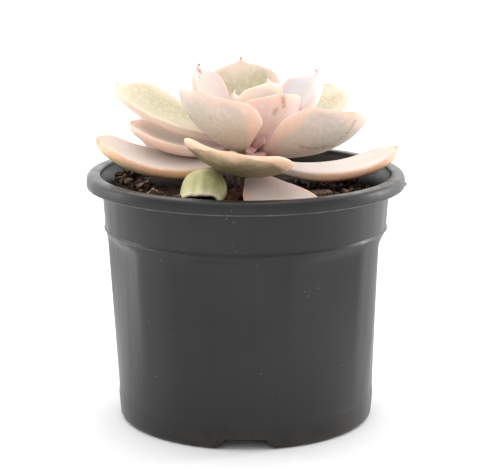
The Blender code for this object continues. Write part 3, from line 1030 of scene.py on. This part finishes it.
        sculpt(chip, split)
        subdivide_surface(chip, 1)
        shade(chip, 50.0)
        finish = FibreFinish(light=(0.20, 0.11, 0.065), dark=(0.05, 0.025, 0.015), scale=700.0)
        return hand_over(chip, finish.material("bark_flake"), ["bark_chip"])

    def build_flakes(self) -> bpy.types.Object:
        """Broad flakes of bark that lean on the soil's bank, beside the wall."""
        draw = random.Random(self.seed + 2)
        flakes = []
        spots = [(-38.5, -12.5, 3.6), (-34.0, -17.5, 4.4), (-40.5, -4.0, 3.2), (-30.0, -24.0, 3.8),
                 (-22.5, -24.5, 4.8), (-26.5, -19.0, 4.0), (28.5, -22.0, 3.4), (-18.5, -27.5, 3.4),
                 (33.0, -12.0, 3.2), (-39.0, 8.0, 3.4), (4.0, -30.0, 3.0), (-2.0, -26.0, 3.4)]
        for x, y, size in spots:
            deselect()
            z = self.height(x, y) + 0.9
            bpy.ops.mesh.primitive_grid_add(
                x_subdivisions=7, y_subdivisions=5, size=2.0, location=(x * MM, y * MM, z * MM)
            )
            flake = named("bark_flake_part")
            flake.scale = (0.5 * size * MM, 0.34 * size * MM, MM)
            flake.rotation_euler = (
                draw.uniform(-0.5, 0.5), draw.uniform(-0.4, 0.4), draw.uniform(0.0, 3.1)
            )
            settle(flake)
            seed = draw.uniform(0.0, 9.0)
            sculpt(flake, lambda p, w=seed: p + Vector((0.5, 0.6, 0.7)) * wobble(p, 1.7, w))
            solid = flake.modifiers.new("thick", "SOLIDIFY")
            solid.thickness = draw.uniform(0.5, 0.9) * MM
            apply_all(flake)
            flakes.append(flake)
        heap = joined(flakes, "soil_flakes")
        face_outwards(heap)
        shade(heap, 45.0)
        finish = FibreFinish(light=(0.30, 0.19, 0.13), dark=(0.08, 0.045, 0.03), scale=600.0)
        return hand_over(heap, finish.material("flake_bark"))

    def build(self) -> None:
        """Build the soil and all that lies on it."""
        self.build_flakes()
        self.build_bed()
        self.build_crumbs()
        self.build_fibres()
        self.build_stalks()
        self.build_chip()


# ---------------------------------------------------------------- rosette


class Ring(enum.Enum):
    """Which ring of the rosette a leaf belongs to."""

    OUTER = "leaf_outer"
    MIDDLE = "leaf_mid"
    INNER = "leaf_inner"
    BUD = "leaf_bud"


CENTRE = Vector((1.5, 3.0, 0.0))


@dataclass
class Leaf:
    """One fleshy leaf: narrow foot, broad cupped blade, small pointed tip."""

    name: str
    ring: Ring
    azimuth: float
    height: float
    offset: float
    pitch_foot: float
    pitch_tip: float
    length: float
    half_width: float
    thickness: float
    cup: float = 0.30
    roll: float = 0.0
    widest: float = 0.66
    foot_share: float = 0.34
    blunt: float = 2.6
    spike: float = 2.2
    finish: LeafFinish = field(default_factory=LeafFinish)
    scars: tuple[Scar, ...] = ()
    fullness: float = 0.5
    fuller: float = 0.0
    flare: float = 0.0
    lean: float = 0.0
    framed: bool = True
    segments: int = 32
    stations: int = 38

    def __post_init__(self) -> None:
        """Walk along the midrib once and keep its points and frames."""
        self.steps = 100
        self.reach = 1.0 + self.spike / self.length
        point = CENTRE + polar(self.offset, self.azimuth, SOIL_LEVEL + self.height)
        self.spine = [point]
        self.frames = [self.frame_at(0.0)]
        stride = self.length * self.reach / self.steps
        for i in range(1, self.steps + 1):
            point = point + self.frame_at(self.reach * (i - 0.5) / self.steps)[0] * stride
            self.spine.append(point)
            self.frames.append(self.frame_at(self.reach * i / self.steps))

    def frame_at(self, along: float) -> tuple[Vector, Vector, Vector]:
        """Unit vectors forward, across and out of the upper face at a share of the length."""
        rise = self.pitch_foot + (self.pitch_tip - self.pitch_foot) * min(along, 1.0) ** 1.3
        rise += 40.0 * smooth(0.97, 0.97 + 0.8 * (self.reach - 0.97), along)
        pitch, turn, roll = (math.radians(a) for a in (rise, self.azimuth, self.roll))
        level = Vector((math.cos(turn), math.sin(turn), 0.0))
        forward = level * math.cos(pitch) + Vector((0, 0, math.sin(pitch)))
        side = Vector((-math.sin(turn), math.cos(turn), 0.0))
        up = level * -math.sin(pitch) + Vector((0, 0, math.cos(pitch)))
        return (
            forward,
            side * math.cos(roll) + up * math.sin(roll),
            up * math.cos(roll) - side * math.sin(roll),
        )

    def half_at(self, along: float) -> float:
        """Half width at a share of the length, the pointed tip included."""
        blade = 0.0
        if along <= self.widest:
            rise = math.sin(0.5 * math.pi * along / self.widest) ** 1.25
            blade = self.foot_share + (1.0 - self.foot_share) * rise
        elif along < 1.0:
            past = (along - self.widest) / (1.0 - self.widest)
            blade = max(0.0, 1.0 - past**self.blunt) ** 0.59
        left = (self.reach - along) * self.length
        point = 0.10 + 0.36 * left if self.spike > 0.5 else 0.0
        return ((self.half_width * blade) ** 4 + min(point, 3.0) ** 4) ** 0.25

    def thick_at(self, along: float) -> float:
        """Thickness at a share of the length."""
        u = min(along, 1.0)
        swell = 0.75 + 0.25 * math.sin(0.5 * math.pi * min(u / 0.6, 1.0))
        share = swell * (1.0 - 0.42 * u**3)
        if u > 0.86:
            share *= max(0.25, 1.0 - 0.5 * ((u - 0.86) / 0.14) ** 2)
        left = (self.reach - along) * self.length
        ending = smooth(-0.6, 2.4, left)
        return self.thickness * share * ending + 0.12

    def surface(self, along: float, phase: float) -> Vector:
        """A point of the skin.

        Args:
            along: Share of the length, past 1 in the pointed tip.
            phase: Angle round the section; 0 to pi is the upper face.

        Returns:
            The point in millimetres.
        """
        place = min(along / self.reach, 1.0) * self.steps
        index = min(int(place), self.steps - 1)
        rest = place - index
        centre = self.spine[index].lerp(self.spine[index + 1], rest)
        _, side, up = self.frames[min(int(round(place)), self.steps)]
        across, lift = math.cos(phase), math.sin(phase)
        half = self.half_at(along)
        thick = self.thick_at(along)
        hump = wobble(centre + side * half * across, 9.0, 0.3 * self.azimuth)
        half *= 1.0 + 0.025 * wobble(Vector((along * 9.0, across * 2.0, self.height)), 2.0)
        half *= 1.0 + self.fuller * max(0.0, across) * smooth(0.3, 0.7, along)
        centre = centre + side * self.lean * smooth(0.72, 1.0, along)
        curl = self.cup * half * (0.3 + 0.7 * min(1.0, along / 0.5)) * smooth(1.05, 0.85, along)
        share = 0.38 if lift > 0 else 0.62
        rise = curl * across * across
        rise += self.flare * half * max(0.0, across) ** 3 * smooth(0.3, 0.8, along)
        rise += thick * share * math.copysign(abs(lift) ** self.fullness, lift)
        if lift < 0:
            rise -= 0.11 * thick * abs(lift) ** 7 * smooth(0.25, 0.7, along)
        rise += 0.22 * hump * smooth(0.05, 0.3, along) * smooth(1.0, 0.85, along)
        return centre + side * half * across + up * rise

    def build(self) -> bpy.types.Object:
        """Add a ball, draw it out along the midrib, map and smooth it."""
        deselect()
        bpy.ops.mesh.primitive_uv_sphere_add(
            segments=self.segments, ring_count=self.stations, radius=1.0
        )
        leaf = named(self.name + "_form")
        mesh = leaf.data
        marks = []
        for vertex in mesh.vertices:
            polar_share = 1.0 - math.acos(max(-1.0, min(1.0, vertex.co.z))) / math.pi
            along = self.reach * (1.0 - (1.0 - polar_share) ** 1.25)
            phase = math.atan2(vertex.co.y, vertex.co.x)
            at_pole = math.hypot(vertex.co.x, vertex.co.y) < 1e-5
            marks.append((along, phase, at_pole))
        for vertex, (along, phase, at_pole) in zip(mesh.vertices, marks):
            if at_pole:
                vertex.co = (self.spine[0] if along < 0.5 else self.spine[-1]) * MM
            else:
                vertex.co = self.surface(along, phase) * MM
        layer = mesh.uv_layers.active.data
        for face in mesh.polygons:
            shares = [(marks[v][1] / (2 * math.pi)) % 1.0 for v in face.vertices]
            poles = [marks[v][2] for v in face.vertices]
            solid = [s for s, pole in zip(shares, poles) if not pole]
            if max(solid) - min(solid) > 0.5:
                shares = [s + 1.0 if s < 0.5 else s for s in shares]
                solid = [s for s, pole in zip(shares, poles) if not pole]
            middle = sum(solid) / len(solid)
            for corner, v, share, pole in zip(face.loop_indices, face.vertices, shares, poles):
                layer[corner].uv = (middle if pole else share, marks[v][0] / self.reach)
        face_outwards(leaf)
        subdivide_surface(leaf, 1)
        shade(leaf)
        found = []
        for scar in self.scars:
            phase = math.acos(max(-1.0, min(1.0, scar.across)))
            found.append((self.surface(scar.along, phase if scar.upper else -phase), scar))
        material = self.finish.material(self.name + "_skin", found)
        return hand_over(leaf, material, [self.name] if self.framed else [])


GREEN_FACE = (0.55, 0.50, 0.31)
PALE_PINK = (0.76, 0.64, 0.60)
BLUE_WHITE = (0.76, 0.72, 0.76)
PEACH = (0.90, 0.56, 0.40)
CREAM_EDGE = (0.90, 0.72, 0.58)
BLUSH = (0.80, 0.56, 0.54)

UNDER_PINK = LeafFinish(
    face=PALE_PINK, back=(0.76, 0.58, 0.54), margin=PEACH, foot=BLUSH, keel=(0.60, 0.54, 0.38),
    tip=PEACH,
)
WARM_FACE = LeafFinish(
    face=(0.90, 0.79, 0.70), back=(0.80, 0.62, 0.56), margin=(0.93, 0.64, 0.50),
    foot=(0.84, 0.66, 0.62), tip=(0.90, 0.50, 0.34),
)
OUTSIDE_PINK = LeafFinish(
    face=PALE_PINK, back=(0.64, 0.54, 0.47), margin=(0.88, 0.60, 0.48), foot=(0.74, 0.54, 0.52),
    keel=(0.52, 0.49, 0.37), keel_share=0.5, tip=(0.86, 0.56, 0.42), margin_start=0.76,
)
GREEN_INSIDE = LeafFinish(
    face=GREEN_FACE, back=(0.80, 0.63, 0.55), margin=CREAM_EDGE, foot=(0.74, 0.66, 0.60),
    tip=(0.80, 0.52, 0.40), margin_start=0.62, end_start=0.74, bloomed=0.3,
)
BROWN_TIP = LeafFinish(
    face=GREEN_FACE, back=(0.80, 0.62, 0.52), margin=(0.92, 0.74, 0.62), foot=BLUSH,
    tip=(0.36, 0.14, 0.09), margin_start=0.50, end_start=0.62, bloomed=0.3, margin_share=0.9,
)
DARK_TIP = LeafFinish(
    face=PALE_PINK, back=(0.76, 0.58, 0.54), margin=(0.88, 0.62, 0.52), foot=BLUSH,
    tip=(0.10, 0.045, 0.03), tip_share=0.95,
)
OLIVE_BACK = LeafFinish(
    face=(0.80, 0.70, 0.54), back=(0.22, 0.17, 0.07), margin=(0.93, 0.63, 0.44),
    foot=(0.20, 0.14, 0.06), keel=(0.18, 0.15, 0.05), keel_share=0.4,
    margin_share=0.95, margin_start=0.80, end_start=0.78, tip=(0.92, 0.60, 0.40), bloomed=0.10,
)
PALE_TOP = LeafFinish(
    face=(0.75, 0.68, 0.63), back=(0.62, 0.45, 0.20), margin=(0.90, 0.54, 0.34), foot=PALE_PINK,
    margin_share=0.9, tip=(0.88, 0.42, 0.26),
)
COOL_INSIDE = LeafFinish(
    face=BLUE_WHITE, back=(0.84, 0.68, 0.66), margin=(0.90, 0.70, 0.64), tip=(0.55, 0.22, 0.17)
)
CREAM_BUD = LeafFinish(
    face=BLUE_WHITE, back=(0.86, 0.76, 0.66), margin=(0.92, 0.74, 0.60), tip=(0.86, 0.58, 0.42)
)
SCRAP = LeafFinish(
    face=(0.72, 0.46, 0.44), back=(0.66, 0.40, 0.38), margin=(0.38, 0.17, 0.15),
    foot=(0.55, 0.30, 0.28), margin_share=0.8, tip=(0.30, 0.13, 0.11),
)

RIGHT_FRONT_MARKS = marks(
    (0.60, 0.02, 1.5, 0.5), (0.56, -0.10, 1.3, 0.5), (0.53, -0.22, 1.3, 0.5),
    (0.50, -0.36, 1.2, 0.45), (0.64, 0.14, 1.2, 0.5), (0.95, 0.16, 0.9, 0.4),
    (0.91, 0.15, 0.9, 0.45), (0.87, 0.14, 0.9, 0.45), (0.83, 0.14, 0.9, 0.45),
    (0.79, 0.13, 0.9, 0.4), (0.75, 0.13, 0.9, 0.35),
)
INNER_FRONT_MARKS = marks(
    (0.66, -0.34, 1.0, 0.5), (0.70, -0.32, 0.9, 0.5), (0.69, -0.16, 0.8, 0.45),
    (0.65, -0.18, 0.7, 0.4), (0.76, 0.30, 0.7, 0.3),
)
FRONT_RIGHT_MARKS = marks(
    (0.96, 0.04, 1.4, 0.5), (0.91, 0.04, 1.2, 0.5), (0.86, 0.05, 1.1, 0.4),
    (0.82, -0.22, 1.0, 0.4), (0.77, -0.24, 1.0, 0.4),
)


def rosette_leaves() -> list[Leaf]:
    """Every leaf of the rosette, from the outermost in.

    Returns:
        The leaves, each with its place, shape and finish.
    """
    outer, middle, inner, bud = Ring.OUTER, Ring.MIDDLE, Ring.INNER, Ring.BUD
    return [
        Leaf("leaf_outer_right", outer, 4, 9, 7.5, -18, 40, 44, 11.8, 4.2, 0.10, 1, blunt=3.0,
             foot_share=0.55, spike=0.6, finish=PALE_TOP),
        Leaf("leaf_outer_left", outer, 192, 10.5, 7.5, -12, 42, 46.5, 13.5, 4.5, 0.16, -6,
             foot_share=0.30, blunt=3.4, spike=0.4, finish=PALE_TOP),
        Leaf("leaf_outer_back_left", outer, 141, 9.5, 7.5, -8, 30, 40, 10.2, 4.3, 0.25,
             foot_share=0.30, spike=2.0, finish=GREEN_INSIDE),
        Leaf("leaf_outer_back", outer, 91, 9.5, 7.5, -6, 32, 40, 12.5, 4.5, 0.25,
             foot_share=0.30, finish=GREEN_INSIDE),
        Leaf("leaf_outer_droop", outer, -73, 6, 8, -5, -11, 36, 12.6, 3.2, 0.06, widest=0.88,
             foot_share=0.36, blunt=3.4, spike=0.4, finish=UNDER_PINK),
        Leaf("leaf_front", outer, -98, 11.5, 6.5, -2, 34, 41, 17.5, 4.5, 0.25, -10,
             foot_share=0.25, spike=0.4, finish=OLIVE_BACK),
        Leaf("leaf_left_low", middle, 171, 14.5, 6, -8, 40, 36.5, 12, 4.0, 0.25, -4,
             foot_share=0.30, spike=0.4, finish=WARM_FACE),
        Leaf("leaf_left_high", middle, 164.5, 17.7, 6, 7.5, 42, 43.5, 12.3, 4.0, 0.22, -8, 0.72,
             foot_share=0.24, spike=1.0, lean=1.8, finish=GREEN_INSIDE),
        Leaf("leaf_right_front", middle, -41, 14.5, 6.5, 6, 48, 41, 15, 4.5, 0.30, -18,
             foot_share=0.22, spike=0.4, flare=0.16, finish=OUTSIDE_PINK, scars=RIGHT_FRONT_MARKS),
        Leaf("leaf_right_back", middle, 50, 12.5, 6, 14, 44, 41, 15.5, 4.0, 0.22,
             foot_share=0.28, blunt=3.2, spike=0.6, finish=GREEN_INSIDE),
        Leaf("leaf_back_mid", middle, 114, 14, 6, 12, 48, 33, 10.5, 4.5, foot_share=0.28,
             finish=GREEN_INSIDE),
        Leaf("leaf_inner_right", inner, 20, 16, 5, 30, 75, 29.5, 13.5, 4.5, 0.35,
             foot_share=0.28, finish=COOL_INSIDE),
        Leaf("leaf_inner_front", inner, -127, 16, 5.5, 20, 72, 32, 17.2, 4.5, 0.35, -12, 0.68,
             foot_share=0.22, spike=1.0, fuller=0.12, finish=OUTSIDE_PINK,
             scars=INNER_FRONT_MARKS),
        Leaf("leaf_inner_front_right", inner, -58, 17.2, 4.2, 30, 78, 23.5, 11.6, 4, 0.35,
             foot_share=0.28, spike=1.0, finish=UNDER_PINK, scars=FRONT_RIGHT_MARKS),
        Leaf("leaf_inner_back", inner, 99, 17.8, 4.2, 38, 74, 28.5, 12.5, 4, foot_share=0.28,
             finish=BROWN_TIP),
        Leaf("leaf_inner_left", inner, 172, 19.4, 4, 40, 80, 25.5, 8.8, 3.5, 0.30, -20,
             finish=DARK_TIP, scars=(Scar(0.97, 0.0, True, 1.2, 0.8), Scar(0.90, 0.3, True, 0.6),
                                     Scar(0.86, 0.45, True, 0.5))),
        Leaf("leaf_bud_front", bud, -48, 19.8, 3.2, 60, 86, 18.5, 9.5, 3, 0.35, spike=1.8,
             finish=CREAM_BUD),
        Leaf("leaf_bud_left", bud, 200, 20.9, 2.4, 66, 86, 12.5, 5.8, 2.6, spike=1.6,
             finish=CREAM_BUD),
        Leaf("leaf_bud_back", bud, 75, 20.8, 3, 60, 85, 12.5, 6.8, 2.8, spike=1.6,
             finish=GREEN_INSIDE),
        Leaf("leaf_bud_core_a", bud, 134, 23.1, 1.9, 76, 88, 8, 3, 1.8, spike=1.2,
             finish=GREEN_INSIDE),
        Leaf("leaf_bud_core_b", bud, 5, 22.5, 2.2, 68, 88, 9, 4, 2, spike=1.2,
             finish=GREEN_INSIDE),
        Leaf("leaf_bud_core_c", bud, -106, 23.5, 1.9, 78, 88, 7.5, 3, 1.7, spike=1.2,
             finish=GREEN_INSIDE),
        Leaf("leaf_small_front", inner, -82, 14.2, 5.5, 0, 6, 11.5, 3.6, 1.6, 0.15, spike=0.8,
             finish=SCRAP),
        Leaf("leaf_scrap_left", inner, -106, 15.2, 6.0, 8, 40, 10.5, 2.6, 1.2, 0.5, 20, spike=1.2,
             finish=SCRAP, framed=False, segments=20, stations=20),
        Leaf("leaf_scrap_mid", inner, -92, 16.0, 5.5, 10, -30, 9.0, 2.2, 1.1, 0.5, -25, spike=1.0,
             finish=SCRAP, framed=False, segments=20, stations=20),
        Leaf("leaf_scrap_right", inner, -70, 15.0, 6.0, 25, 70, 8.5, 2.4, 1.2, 0.6, 10, spike=1.2,
             finish=SCRAP, framed=False, segments=20, stations=20),
    ]


@dataclass
class Stem:
    """The short scarred stem under the rosette."""

    foot_radius: float = 7.0
    foot: float = 76.5
    top: float = 97.6

    def build(self) -> bpy.types.Object:
        """Extrude a circle up through the stem's shape and roughen it."""
        deselect()
        shape = ((1.0, 0.0), (0.93, 0.12), (0.9, 0.25), (0.78, 0.42), (0.62, 0.58), (0.43, 0.76),
                 (0.14, 1.0))
        bpy.ops.mesh.primitive_circle_add(
            vertices=32,
            radius=self.foot_radius * MM,
            fill_type="NGON",
            location=(CENTRE.x * MM, CENTRE.y * MM, self.foot * MM),
        )
        stem = named("stem_form")
        bpy.ops.object.mode_set(mode="EDIT")
        bpy.ops.mesh.select_all(action="SELECT")
        for (low, start), (high, end) in zip(shape, shape[1:]):
            rise = (self.top - self.foot) * (end - start) * MM
            bpy.ops.mesh.extrude_region_move(TRANSFORM_OT_translate={"value": (0, 0, rise)})
            bpy.ops.transform.resize(value=(high / low, high / low, 1.0))
        bpy.ops.object.mode_set(mode="OBJECT")
        settle(stem)
        face_outwards(stem, merge=0.000001)
        subdivide_surface(stem, 2)

        def scarred(point: Vector) -> Vector:
            """Ring the stem with leaf scars."""
            out = point - Vector((CENTRE.x, CENTRE.y, point.z))
            bands = 0.22 * math.sin(point.z * 2.6 + 2.0 * math.atan2(out.y, out.x))
            return point + out.normalized() * (bands + 0.3 * wobble(point, 2.0, 1.0) - 0.35)

        sculpt(stem, scarred)
        shade(stem)
        finish = FibreFinish(light=(0.34, 0.26, 0.16), dark=(0.12, 0.08, 0.04), scale=350.0)
        return hand_over(stem, finish.material("stem_cork"), ["stem"])


@dataclass
class OldLeaves:
    """The torn stump of an old leaf and the dried leaf beside it."""

    stump_heading: float = -97.0
    stump_length: float = 20.5
    stump_girth: float = 7.0
    stump_skin: float = 1.1
    dried_heading: float = -104.0
    dried_length: float = 23.0
    dried_half_width: float = 2.9
    dried_thickness: float = 0.45

    def arched_sheet(
        self, name: str, across: int, along: int, lay: Callable[[float, float], Vector],
        thick: float,
    ) -> bpy.types.Object:
        """A sheet laid by a function of two shares and given a thickness.

        Args:
            name: The sheet's name.
            across: Cuts across it.
            along: Cuts along it.
            lay: Gives the place of the point at two shares from 0 to 1.
            thick: The sheet's thickness.

        Returns:
            The closed sheet.
        """
        deselect()
        bpy.ops.mesh.primitive_grid_add(x_subdivisions=across, y_subdivisions=along, size=2.0)
        sheet = named(name)
        for vertex in sheet.data.vertices:
            vertex.co = lay(0.5 + 0.5 * vertex.co.x, 0.5 + 0.5 * vertex.co.y) * MM
        face_outwards(sheet)
        solid = sheet.modifiers.new("flesh", "SOLIDIFY")
        solid.thickness = thick * MM
        solid.offset = 0.0
        apply_all(sheet)
        face_outwards(sheet)
        subdivide_surface(sheet, 1)
        shade(sheet)
        return sheet

    def build_stump(self) -> bpy.types.Object:
        """The yellow-green stump: an arched skin, open and ragged where it tore."""
        start = Vector((-12.2, -8.0, 0.0))
        forward = polar(1.0, self.stump_heading)
        side = polar(1.0, self.stump_heading + 90.0)

        def lay(across: float, along: float) -> Vector:
            """Arch the skin over the soil and let its end curve down and tear."""
            angle = math.radians(-6.0 + 192.0 * across)
            nose = smooth(0.45, 1.0, along)
            girth = self.stump_girth * (0.72 + 0.28 * smooth(0.0, 0.45, along) - 0.10 * nose)
            ragged = wobble(Vector((across * 9.0, 0.0, 2.0)), 1.1, 1.0)
            reach = self.stump_length * along * (1.0 + 0.05 * ragged * nose)
            reach -= 1.6 * nose * abs(math.cos(angle)) ** 1.5
            crown = 8.6 + 2.0 * smooth(0.0, 0.4, along) - 5.5 * nose**1.4
            place = start + forward * reach + side * math.cos(angle) * girth
            arch = max(0.0, math.sin(angle)) ** 0.62
            place.z = SOIL_LEVEL + 1.2 + (crown - 1.2) * arch + 0.9 * ragged * nose
            place.z += 0.35 * wobble(place, 4.0, 6.0)
            return place

        stump = self.arched_sheet("leaf_stump_form", 26, 24, lay, self.stump_skin)
        return hand_over(stump, TornFinish().material("stump_flesh"), ["leaf_stump"])

    def build_dried(self) -> bpy.types.Object:
        """The dried leaf: a thin crumpled red-brown blade."""
        start = CENTRE + polar(9.5, self.dried_heading)
        forward = polar(1.0, self.dried_heading)
        side = polar(1.0, self.dried_heading + 90.0)

        def lay(across: float, along: float) -> Vector:
            """Crumple the blade lengthwise."""
            bulge = math.sin(math.pi * min(1.0, 0.15 + 0.8 * along))
            half = self.dried_half_width * (0.35 + 0.65 * bulge)
            place = start + forward * (self.dried_length * along) + side * half * (2.0 * across - 1.0)
            place.z = SOIL_LEVEL + 3.6 - 1.2 * along
            place.z += 0.8 * wobble(Vector((across * 6.0, along * 9.0, 0.0)), 1.6, 3.0)
            return place

        dried = self.arched_sheet("leaf_dried_form", 14, 30, lay, self.dried_thickness)
        finish = FibreFinish(light=(0.24, 0.09, 0.045), dark=(0.06, 0.02, 0.012), scale=420.0)
        return hand_over(dried, finish.material("dried_leaf"), ["leaf_dried"])

    def build(self) -> None:
        """Build both old leaves."""
        self.build_stump()
        self.build_dried()


# ---------------------------------------------------------------- studio


@dataclass
class Studio:
    """Pale floor, soft white light all round, and the camera."""

    floor_side: float = 8.0
    front_light: float = 0.98
    back_light: float = 2.20
    distance: float = 0.600
    camera_height: float = 0.197
    camera_side: float = 0.0014
    pitch: float = 12.78
    lens: float = 133.2

    def build_floor(self) -> bpy.types.Object:
        """A wide pale floor."""
        deselect()
        bpy.ops.mesh.primitive_plane_add(size=self.floor_side)
        floor = named("studio_floor")
        graph = Graph("floor_paper")
        graph.colour((0.96, 0.96, 0.96))
        graph.rough(0.9)
        graph.fixed(Specular_IOR_Level=0.1)
        floor.data.materials.append(graph.material)
        return floor

    def build_world(self) -> None:
        """Surroundings that are dimmer in front of the plant than behind it."""
        world = bpy.data.worlds.new("studio")
        world.use_nodes = True
        nodes = world.node_tree.nodes
        links = world.node_tree.links
        background = nodes["Background"]
        background.inputs["Color"].default_value = (1.0, 1.0, 1.0, 1.0)
        place = nodes.new("ShaderNodeTexCoord")
        split = nodes.new("ShaderNodeSeparateXYZ")
        ramp = nodes.new("ShaderNodeMapRange")
        ramp.interpolation_type = "SMOOTHSTEP"
        ramp.inputs["From Min"].default_value = -0.1
        ramp.inputs["From Max"].default_value = 0.9
        ramp.inputs["To Min"].default_value = self.front_light
        ramp.inputs["To Max"].default_value = self.back_light
        links.new(place.outputs["Generated"], split.inputs[0])
        links.new(split.outputs["Y"], ramp.inputs["Value"])
        links.new(ramp.outputs["Result"], background.inputs["Strength"])
        bpy.context.scene.world = world
        bpy.context.scene.view_settings.view_transform = "Standard"

    def add_panel(
        self, name: str, place: Sequence[float], size: Sequence[float], power: float
    ) -> None:
        """A soft light that faces the plant.

        Args:
            name: The light's name.
            place: Where it hangs, in metres.
            size: Its width and height in metres.
            power: Its power in watts.
        """
        deselect()
        bpy.ops.object.light_add(type="AREA", location=place)
        panel = bpy.context.object
        panel.name = name
        panel.data.shape = "RECTANGLE"
        panel.data.size, panel.data.size_y = size
        panel.data.energy = power
        aim = Vector((0.0, 0.0, 0.08)) - Vector(place)
        panel.rotation_euler = aim.to_track_quat("-Z", "Y").to_euler()

    def build_camera(self) -> None:
        """The camera, looking slightly down at the pot."""
        deselect()
        bpy.ops.object.camera_add(
            location=(self.camera_side, -self.distance, self.camera_height),
            rotation=(math.radians(90.0 - self.pitch), 0.0, 0.0),
        )
        camera = bpy.context.object
        camera.data.lens = self.lens
        camera.data.sensor_width = 36.0
        bpy.context.scene.camera = camera

    def build(self) -> None:
        """Set up the studio."""
        self.build_floor()
        self.build_world()
        self.add_panel("overhead", (-0.1, -0.3, 1.5), (1.6, 1.6), 4.5)
        self.add_panel("left_strip", (-0.93, 0.20, 0.20), (0.13, 0.7), 2.2)
        self.add_panel("right_strip", (0.91, 0.30, 0.20), (0.16, 0.7), 5.0)
        self.build_camera()


def main() -> None:
    """Build the potted succulent and its studio."""
    logging.basicConfig(level=logging.INFO, format="%(message)s")
    Studio().build()
    Pot().build()
    SoilBed().build()
    Stem().build()
    OldLeaves().build()
    for leaf in rosette_leaves():
        leaf.build()


if __name__ == "__main__":
    main()
